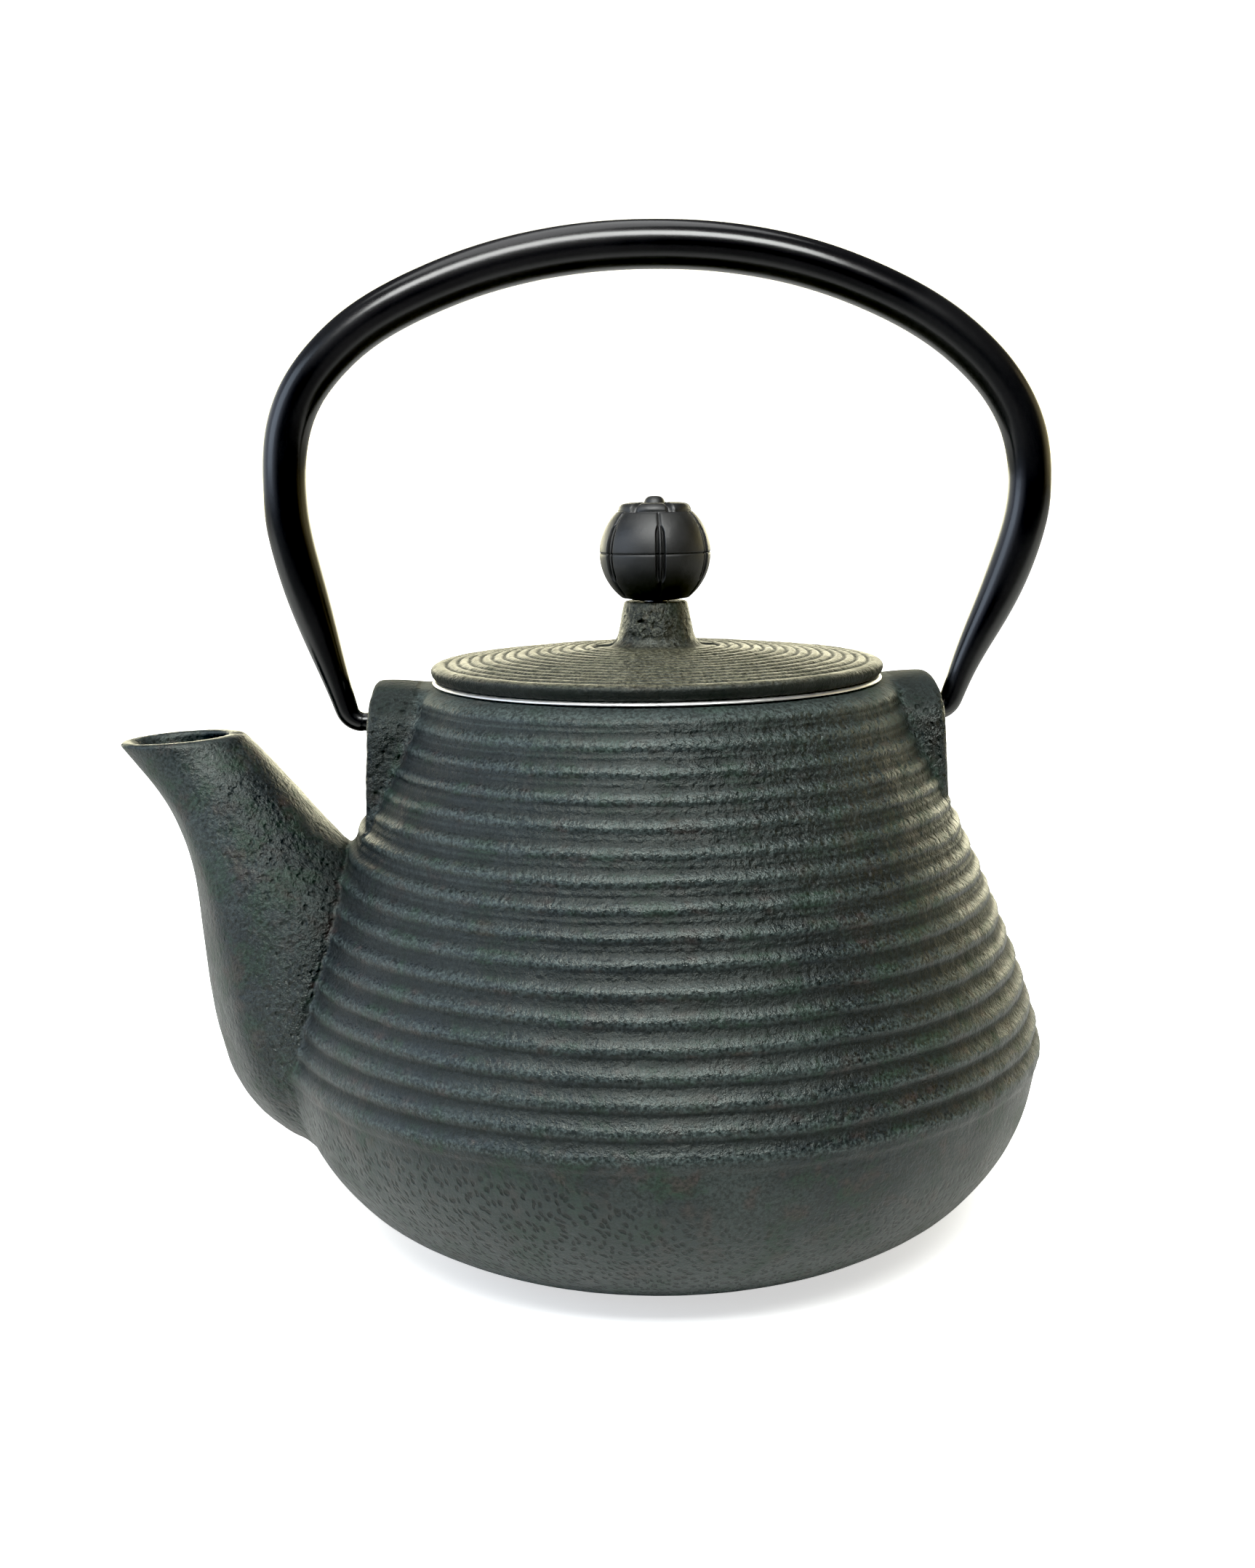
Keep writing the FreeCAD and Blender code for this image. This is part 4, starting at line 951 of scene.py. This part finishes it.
# ------------------------------------------------------------------ materials
def new_mat(name):
    m = bpy.data.materials.new(name)
    m.use_nodes = True
    nt = m.node_tree
    for n in list(nt.nodes):
        nt.nodes.remove(n)
    return m, nt


class Net:
    def __init__(self, nt):
        self.nt = nt

    def add(self, kind, inputs=None, **props):
        n = self.nt.nodes.new(kind)
        for k, v in props.items():
            setattr(n, k, v)
        for k, v in (inputs or {}).items():
            self.put(n.inputs[k], v)
        return n

    def put(self, socket, v):
        if isinstance(v, bpy.types.NodeSocket):
            self.nt.links.new(v, socket)
        else:
            socket.default_value = v

    def math(self, op, a, b=0.0, c=0.0, clamp=False):
        n = self.nt.nodes.new("ShaderNodeMath")
        n.operation = op
        n.use_clamp = clamp
        self.put(n.inputs[0], a)
        self.put(n.inputs[1], b)
        self.put(n.inputs[2], c)
        return n.outputs[0]

    def ramp(self, v, a, b, lo=0.0, hi=1.0):
        n = self.nt.nodes.new("ShaderNodeMapRange")
        n.interpolation_type = "SMOOTHSTEP"
        n.clamp = True
        self.put(n.inputs["Value"], v)
        self.put(n.inputs["From Min"], a)
        self.put(n.inputs["From Max"], b)
        self.put(n.inputs["To Min"], lo)
        self.put(n.inputs["To Max"], hi)
        return n.outputs["Result"]

    def mix(self, f, a, b):
        n = self.nt.nodes.new("ShaderNodeMix")
        n.data_type = "RGBA"
        self.put(n.inputs["Factor"], f)
        self.put(n.inputs[6], a)
        self.put(n.inputs[7], b)
        return n.outputs[2]

    def noise(self, vec, scale, detail=2.0, rough=0.5, distort=0.0):
        n = self.add("ShaderNodeTexNoise", {"Vector": vec, "Scale": scale, "Detail": detail, "Roughness": rough,
                                            "Distortion": distort})
        return n.outputs["Fac"], n.outputs["Color"]

    def attr(self, name):
        n = self.add("ShaderNodeAttribute", attribute_name=name)
        return n.outputs["Fac"]

    def coords(self):
        return self.add("ShaderNodeTexCoord").outputs["Object"]


def principled(net, **vals):
    p = net.add("ShaderNodeBsdfPrincipled")
    for k, v in vals.items():
        net.put(p.inputs[k], v)
    out = net.add("ShaderNodeOutputMaterial")
    net.nt.links.new(p.outputs[0], out.inputs[0])
    return p


def iron_material(name, dark, light, green, brown, rough_lo, rough_hi, spec, with_inside=False, top_tint=None,
                  tint=(0.92, 1.0, 0.93, 1)):
    m, nt = new_mat(name)
    n = Net(nt)
    co = n.coords()
    rough, dimple, crest, groove = (n.attr(k) for k in ("rough", "dimple", "crest", "groove"))
    patch, _ = n.noise(co, 48.0, 4.0, 0.60)
    patch2, _ = n.noise(co, 120.0, 4.0, 0.62, 0.4)
    patch3, _ = n.noise(co, 175.0, 3.0, 0.6, 0.3)
    grain, _ = n.noise(co, 1700.0, 3.0, 0.65)
    col = n.mix(n.ramp(patch, 0.38, 0.62), dark, light)
    col = n.mix(n.math("MULTIPLY", n.ramp(patch2, 0.50, 0.64), 0.65), col, green)
    col = n.mix(n.math("MULTIPLY", n.ramp(patch3, 0.53, 0.68), 0.60), col, brown)
    # paler crests, partly wear and partly a painted highlight, painted shade in the grooves, and a fine pepper of both
    # everywhere
    speck = n.ramp(grain, 0.50, 0.68)
    crest_wear_and_highlight = n.math("MULTIPLY", crest, n.math("MULTIPLY_ADD", speck, 0.45, 0.30))
    col = n.mix(crest_wear_and_highlight, col, (light[0] * 2.1, light[1] * 2.2, light[2] * 2.1, 1))
    # the lid's up-facing ridge crests turn tan: partly dust, partly a painted reflection of the bright backdrop
    if top_tint:
        col = n.mix(n.math("MULTIPLY", crest, n.math("MULTIPLY_ADD", speck, 0.30, 0.70)), col, top_tint)
    if with_inside:
        height = n.add("ShaderNodeSeparateXYZ", {0: co}).outputs[2]
        # painted highlight: the pot's top band above 94 mm is made paler
        col = n.mix(n.ramp(height, 0.094, 0.101, 0.0, 0.45), col, (light[0] * 1.9, light[1] * 2.0, light[2] * 1.9, 1))
    # painted shade: the grooves are darkened
    col = n.mix(n.math("MULTIPLY", groove, 0.60 if top_tint else 0.85), col, (dark[0] * 0.35, dark[1] * 0.35, dark[2] * 0.35, 1))
    pepper = n.ramp(grain, 0.30, 0.46, 0.55, 0.0)
    col = n.mix(pepper, col, (dark[0] * 0.25, dark[1] * 0.25, dark[2] * 0.25, 1))
    # the sand's grain shows as light and dark points; where the casting is rough, light points are added as painted
    # glints
    spots = n.ramp(grain, 0.40, 0.62, 0.55, 1.50)
    col = n.add("ShaderNodeVectorMath", {0: col, "Scale": spots}, operation="SCALE").outputs["Vector"]
    painted_glint = n.math("MULTIPLY", rough, n.ramp(grain, 0.52, 0.64, 0.0, 0.55))
    col = n.mix(painted_glint, col, (light[0] * 2.6, light[1] * 2.7, light[2] * 2.5, 1))
    # relief: sand grain, cast lumps, pits where the casting is rough, hammer marks on the bowl
    sand, _ = n.noise(co, 1050.0, 3.0, 0.70)
    lump, _ = n.noise(co, 430.0, 4.0, 0.66)
    big = n.add("ShaderNodeTexVoronoi", {"Vector": co, "Scale": 620.0, "Smoothness": 0.6, "Randomness": 1.0},
                feature="SMOOTH_F1")
    pits = n.ramp(big.outputs["Distance"], 0.10, 0.42)
    # painted shade: the pits are darkened where the casting is rough
    col = n.mix(n.math("MULTIPLY", n.math("SUBTRACT", 1.0, pits), n.math("MULTIPLY", rough, 0.75)), col,
                (dark[0] * 0.25, dark[1] * 0.25, dark[2] * 0.25, 1))
    sep3 = n.add("ShaderNodeSeparateXYZ", {0: co})
    ox, oy, oz = sep3.outputs
    turn = n.math("MULTIPLY", n.math("ARCTAN2", oy, ox), 0.060)
    reach_ = n.math("SQRT", n.math("ADD", n.math("MULTIPLY", ox, ox), n.math("MULTIPLY", oy, oy)))
    rise = n.math("MULTIPLY", n.math("ADD", oz, reach_), 0.75)
    warp, _ = n.noise(co, 110.0, 3.0, 0.6)
    warp = n.math("MULTIPLY", n.math("SUBTRACT", warp, 0.5), 0.005)
    across = n.math("ADD", n.math("MULTIPLY_ADD", rise, 0.24, turn), warp)
    flat = n.add("ShaderNodeCombineXYZ", {0: n.math("MULTIPLY", across, 830.0), 1: n.math("MULTIPLY", rise, 500.0)})
    ham = n.add("ShaderNodeTexVoronoi", {"Vector": flat.outputs[0], "Scale": 1.0, "Smoothness": 0.12, "Randomness": 0.9},
                voronoi_dimensions="2D", feature="SMOOTH_F1")
    marks = n.ramp(ham.outputs["Distance"], 0.16, 0.38)
    hollow = n.math("MULTIPLY", n.math("SUBTRACT", 1.0, marks), dimple)
    # hammer marks: painted shade in their hollows and a painted highlight on the rims between them
    col = n.mix(n.math("MULTIPLY", hollow, 0.88), col, (dark[0] * 0.3, dark[1] * 0.3, dark[2] * 0.3, 1))
    col = n.mix(n.math("MULTIPLY", n.math("MULTIPLY", marks, dimple), 0.42), col, (light[0] * 1.9, light[1] * 1.9, light[2] * 1.8, 1))
    h = n.math("MULTIPLY", sand, n.math("MULTIPLY_ADD", rough, 0.30, 0.22))
    h = n.math("ADD", h, n.math("MULTIPLY", lump, n.math("MULTIPLY_ADD", rough, 0.80, 0.16)))
    h = n.math("ADD", h, n.math("MULTIPLY", pits, n.math("MULTIPLY", rough, 0.36)))
    h = n.math("ADD", h, n.math("MULTIPLY", marks, n.math("MULTIPLY", dimple, 0.17)))
    bump = n.add("ShaderNodeBump", {"Height": h, "Strength": 1.0, "Distance": 0.001})
    rr = n.ramp(patch2, 0.35, 0.7, rough_lo, rough_hi)
    rr = n.math("ADD", rr, n.math("MULTIPLY", n.math("SUBTRACT", grain, 0.5), 0.45))
    rr = n.math("SUBTRACT", rr, n.math("MULTIPLY", crest, 0.05))
    rr = n.math("MULTIPLY_ADD", groove, 0.16, rr)
    if top_tint:
        # the rim band of the lid is darker and duller than its top; the vent bores get the same dark colour as painted
        # shade
        band = n.attr("inside")
        col = n.mix(n.math("MULTIPLY", band, 0.85), col, (0.004, 0.0048, 0.005, 1))
        rr = n.math("MULTIPLY_ADD", band, 0.20, rr)
    if with_inside:
        black_ = n.attr("black")
        col = n.mix(n.math("MULTIPLY", black_, 0.60), col, (0.006, 0.0068, 0.007, 1))
        rr = n.math("MULTIPLY_ADD", black_, -0.13, rr)
        rr = n.math("MULTIPLY_ADD", n.attr("dull"), 0.50, rr)
        ins = n.attr("inside")
        col = n.mix(ins, col, (0.012, 0.012, 0.013, 1))
        rr = n.math("ADD", n.math("MULTIPLY", rr, n.math("SUBTRACT", 1.0, ins)), n.math("MULTIPLY", ins, 0.24))
        soft = n.math("MULTIPLY", h, n.math("MULTIPLY_ADD", ins, -0.85, 1.0))
        n.put(bump.inputs["Height"], soft)
    principled(n, **{"Base Color": col, "Roughness": rr, "Specular IOR Level": spec, "Specular Tint": tint,
                     "Normal": bump.outputs["Normal"]})
    return m


iron = iron_material("cast_iron_black_green", (0.0090, 0.0112, 0.0140, 1), (0.023, 0.029, 0.029, 1), (0.010, 0.027, 0.014, 1),
                     (0.036, 0.021, 0.019, 1), 0.38, 0.50, 0.5, with_inside=True)
lid_iron = iron_material("cast_iron_lid", (0.020, 0.021, 0.018, 1), (0.040, 0.040, 0.032, 1), (0.022, 0.029, 0.019, 1),
                         (0.044, 0.035, 0.025, 1), 0.44, 0.56, 0.5, top_tint=(0.106, 0.099, 0.062, 1))

# satin black knob
m, nt = new_mat("knob_satin_black")
n = Net(nt)
co = n.coords()
sand, _ = n.noise(co, 1500.0, 3.0, 0.6)
slow, _ = n.noise(co, 170.0, 2.0, 0.5)
slot_a = n.attr("slot")
col = n.mix(n.ramp(slow, 0.4, 0.65), (0.006, 0.006, 0.006, 1), (0.012, 0.012, 0.0115, 1))
# painted shade: the slots and the parting line are darkened
col = n.mix(n.math("MULTIPLY", slot_a, 0.9), col, (0.002, 0.002, 0.002, 1))
h = n.math("ADD", n.math("MULTIPLY", sand, 0.030), n.math("MULTIPLY", slow, 0.12))
bump = n.add("ShaderNodeBump", {"Height": h, "Strength": 1.0, "Distance": 0.001})
principled(n, **{"Base Color": col, "Roughness": n.math("MULTIPLY_ADD", slot_a, 0.35, n.ramp(slow, 0.35, 0.7, 0.46, 0.56)), "Specular IOR Level": 0.75,
                 "Normal": bump.outputs["Normal"]})
knob_mat = m

# glossy black enamel of the bail
m, nt = new_mat("bail_enamel")
n = Net(nt)
co = n.coords()
peel, _ = n.noise(co, 260.0, 2.0, 0.5)
slow, _ = n.noise(co, 40.0, 2.0, 0.5)
fine_, _ = n.noise(co, 2400.0, 2.0, 0.6)
scr, _ = n.noise(n.add("ShaderNodeMapping", {"Vector": co, "Scale": (0.25, 3.0, 0.25)}).outputs[0], 500.0, 2.0, 0.6)
col = n.mix(n.ramp(slow, 0.4, 0.6), (0.0048, 0.0048, 0.0052, 1), (0.008, 0.008, 0.0085, 1))
wear = n.attr("wear")
col = n.mix(n.math("MULTIPLY", wear, n.ramp(scr, 0.55, 0.7)), col, (0.10, 0.09, 0.08, 1))
h = n.math("ADD", n.math("MULTIPLY", peel, 0.030), n.math("MULTIPLY", fine_, 0.004))
bump = n.add("ShaderNodeBump", {"Height": h, "Strength": 1.0, "Distance": 0.001})
principled(n, **{"Base Color": col, "Roughness": n.ramp(slow, 0.35, 0.65, 0.20, 0.26), "Specular IOR Level": 0.5,
                 "Coat Weight": 0.12, "Coat Roughness": 0.12, "Normal": bump.outputs["Normal"]})
bail_mat = m


def steel(name, base, rough, brush, noise_scale=900.0):
    m, nt = new_mat(name)
    n = Net(nt)
    co = n.coords()
    lines, _ = n.noise(n.add("ShaderNodeMapping", {"Vector": co, "Scale": brush}).outputs[0], noise_scale, 2.0, 0.6)
    slow, _ = n.noise(co, 120.0, 2.0, 0.5)
    col = n.mix(n.ramp(slow, 0.35, 0.65), base, (base[0] * 0.86, base[1] * 0.86, base[2] * 0.87, 1))
    h = n.math("MULTIPLY", lines, 0.006)
    bump = n.add("ShaderNodeBump", {"Height": h, "Strength": 1.0, "Distance": 0.001})
    principled(n, **{"Base Color": col, "Metallic": 1.0, "Roughness": n.ramp(lines, 0.3, 0.7, rough - 0.05, rough + 0.06),
                     "Normal": bump.outputs["Normal"]})
    return m


bright = steel("steel_bright", (0.93, 0.92, 0.89, 1), 0.42, (1, 1, 6))
satin = steel("steel_satin", (0.62, 0.62, 0.60, 1), 0.34, (1, 1, 4))
woven = steel("steel_woven", (0.55, 0.55, 0.54, 1), 0.38, (2, 2, 2), 1400.0)


def dress(obj, mat):
    obj.data.materials.clear()
    obj.data.materials.append(mat)


dress(pot, iron)
dress(lid_obj, lid_iron)
dress(knob, knob_mat)
dress(bail, bail_mat)
dress(rim, bright)
dress(base_ring, bright)
dress(screen, satin)
dress(floor_mesh, woven)
for name in ("knob_stem", "knob_washer"):
    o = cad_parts[name]
    for i in range(max(1, len(o.material_slots))):
        if not o.material_slots:
            o.data.materials.append(satin)
        o.material_slots[i].material = satin

for obj, body, node, slot_name in (
        (pot, "pot", "pot_body", "iron"), (lid_obj, "lid_group", "lid", "lid_iron"),
        (knob, "knob_group", "knob", "knob_iron"), (bail, "bail", "handle", "handle_paint"),
        (rim, "infuser", "infuser_rim", "bright_steel"), (base_ring, "infuser", "infuser_base_ring", "bright_steel"),
        (screen, "infuser", "infuser_mesh_wall", "steel"), (floor_mesh, "infuser", "infuser_mesh_floor", "steel")):
    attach(obj, body)
    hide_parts(node)

# ------------------------------------------------------------------ stage
mesh = bpy.data.meshes.new("floor")
S = 4.0
mesh.from_pydata([(-S, -S, 0), (S, -S, 0), (S, S, 0), (-S, S, 0)], [], [(0, 1, 2, 3)])
floor = bpy.data.objects.new("floor", mesh)
scene.collection.objects.link(floor)
m, nt = new_mat("floor_white")
n = Net(nt)
lp = n.add("ShaderNodeLightPath")
geo = n.add("ShaderNodeNewGeometry")
dist = n.add("ShaderNodeVectorMath", {0: geo.outputs["Position"]}, operation="LENGTH").outputs["Value"]
fy = n.add("ShaderNodeSeparateXYZ", {0: geo.outputs["Position"]}).outputs[1]
front = n.ramp(fy, -0.28, -0.05, 0.0, 1.0)
dif = n.add("ShaderNodeBsdfDiffuse", {"Color": (1.0, 1.0, 1.0, 1)})
emi = n.add("ShaderNodeEmission", {"Color": (1, 1, 1, 1), "Strength": n.ramp(dist, 0.045, 0.13, 0.60, 1.4)})
seen = n.add("ShaderNodeAddShader")
nt.links.new(dif.outputs[0], seen.inputs[0])
nt.links.new(emi.outputs[0], seen.inputs[1])
other = n.add("ShaderNodeBsdfDiffuse", {"Color": n.mix(front, (0.12, 0.12, 0.12, 1), (0.85, 0.85, 0.83, 1))})
pick = n.add("ShaderNodeMixShader")
nt.links.new(lp.outputs["Is Camera Ray"], pick.inputs[0])
nt.links.new(other.outputs[0], pick.inputs[1])
nt.links.new(seen.outputs[0], pick.inputs[2])
out = n.add("ShaderNodeOutputMaterial")
nt.links.new(pick.outputs[0], out.inputs[0])
floor.data.materials.append(m)

world = bpy.data.worlds.new("studio")
scene.world = world
world.use_nodes = True
nt = world.node_tree
for nd in list(nt.nodes):
    nt.nodes.remove(nd)
n = Net(nt)
lp = n.add("ShaderNodeLightPath")
d = n.add("ShaderNodeTexCoord").outputs["Generated"]
sep = n.add("ShaderNodeSeparateXYZ", {0: d})
dx, dy, dz = sep.outputs
back = n.ramp(dy, 0.02, 0.50)
low = n.ramp(dz, 0.50, 0.15)
side = n.ramp(dx, -0.7, 0.7)
paper = n.mix(side, (1.60, 1.70, 1.70, 1), (1.25, 1.08, 0.58, 1))
glow = n.math("MULTIPLY", n.ramp(dy, 0.55, 0.90), n.ramp(dz, 0.42, 0.12))
paper = n.mix(n.math("MULTIPLY", glow, 1.0), paper, (9.0, 8.5, 6.1, 1))
left = n.math("MULTIPLY", n.ramp(dx, -0.45, -0.90), n.ramp(dz, 0.75, 0.2))
right = n.math("MULTIPLY", n.ramp(dx, 0.90, 1.0), n.ramp(dz, 0.40, 0.05))
room = n.mix(n.ramp(dz, 0.0, 0.9), (0.010, 0.010, 0.011, 1), (0.10, 0.10, 0.105, 1))
col = n.mix(left, room, (0.94, 1.05, 1.32, 1))
col = n.mix(n.math("MULTIPLY", right, 0.45), col, (1.05, 0.88, 0.48, 1))
col = n.mix(n.math("MULTIPLY", back, low), col, paper)
bg = n.add("ShaderNodeBackground", {"Color": col, "Strength": 1.0})
white = n.add("ShaderNodeBackground", {"Color": (1, 1, 1, 1), "Strength": 1.3})
pick = n.add("ShaderNodeMixShader")
nt.links.new(lp.outputs["Is Camera Ray"], pick.inputs[0])
nt.links.new(bg.outputs[0], pick.inputs[1])
nt.links.new(white.outputs[0], pick.inputs[2])
out = n.add("ShaderNodeOutputWorld")
nt.links.new(pick.outputs[0], out.inputs[0])


def area(name, loc, aim, sx, sy, power, color):
    light = bpy.data.lights.new(name, "AREA")
    light.shape = "RECTANGLE"
    light.size, light.size_y = sx, sy
    light.energy = power
    light.color = color
    o = bpy.data.objects.new(name, light)
    scene.collection.objects.link(o)
    o.location = loc
    d_ = Vector(aim) - Vector(loc)
    o.rotation_euler = d_.to_track_quat("-Z", "Y").to_euler()
    return o


def key_at(el, az, dist, aim=(0, 0, 0.1)):
    e, a = math.radians(el), math.radians(az)
    return (aim[0] + dist * math.cos(e) * math.cos(a), aim[1] + dist * math.cos(e) * math.sin(a), aim[2] + dist * math.sin(e))


area("key_front_top", key_at(50, -95, 1.1), (0, 0, 0.1), 0.95, 0.38, 18.2, (0.98, 1.0, 0.98))
area("top_soft", (-0.10, 0.12, 1.05), (0, 0, 0.1), 0.8, 0.6, 3.0, (0.98, 1.0, 1.0))
area("left_cool", key_at(20, -160, 1.0), (0, 0, 0.06), 0.5, 0.6, 2.2, (0.70, 0.84, 1.0))
area("right_warm", key_at(18, 6, 1.0), (0, 0, 0.08), 0.4, 0.5, 0.4, (1.0, 0.82, 0.44))

# ------------------------------------------------------------------ camera
psi = math.radians(3.0)
e_ax = np.array([math.cos(psi), math.sin(psi), 0.0])
n_ax = np.array([-math.sin(psi), math.cos(psi), 0.0])


def to_obj(v):
    v = np.array(v, float)
    return np.array([v @ e_ax, v @ n_ax, v[2]])


cam_pos = to_obj([0.0, -338.7, 143.46]) * MM
right_ = to_obj([0.99977, 0.01456, -0.01544])
up_ = to_obj([0.01270, 0.17226, 0.98497])
fwd_ = to_obj([-0.0170, 0.98494, -0.17204])
right_ /= np.linalg.norm(right_)
fwd_ /= np.linalg.norm(fwd_)
up_ = np.cross(right_, fwd_)
cam_data = bpy.data.cameras.new("camera")
cam_data.sensor_fit = "AUTO"
cam_data.sensor_width = 36.0
cam_data.lens = 2465.15 / 2156.0 * 36.0
cam_data.clip_start = 0.01
cam_data.clip_end = 20.0
cam = bpy.data.objects.new("camera", cam_data)
scene.collection.objects.link(cam)
M = Matrix(((right_[0], up_[0], -fwd_[0], cam_pos[0]), (right_[1], up_[1], -fwd_[1], cam_pos[1]),
            (right_[2], up_[2], -fwd_[2], cam_pos[2]), (0, 0, 0, 1)))
cam.matrix_world = M
scene.camera = cam
scene.view_settings.view_transform = "Standard"
scene.view_settings.look = "None"
scene.view_settings.use_curve_mapping = True
scene.view_settings.curve_mapping.black_level = (0.0105, 0.0105, 0.0105)
scene.view_settings.curve_mapping.update()
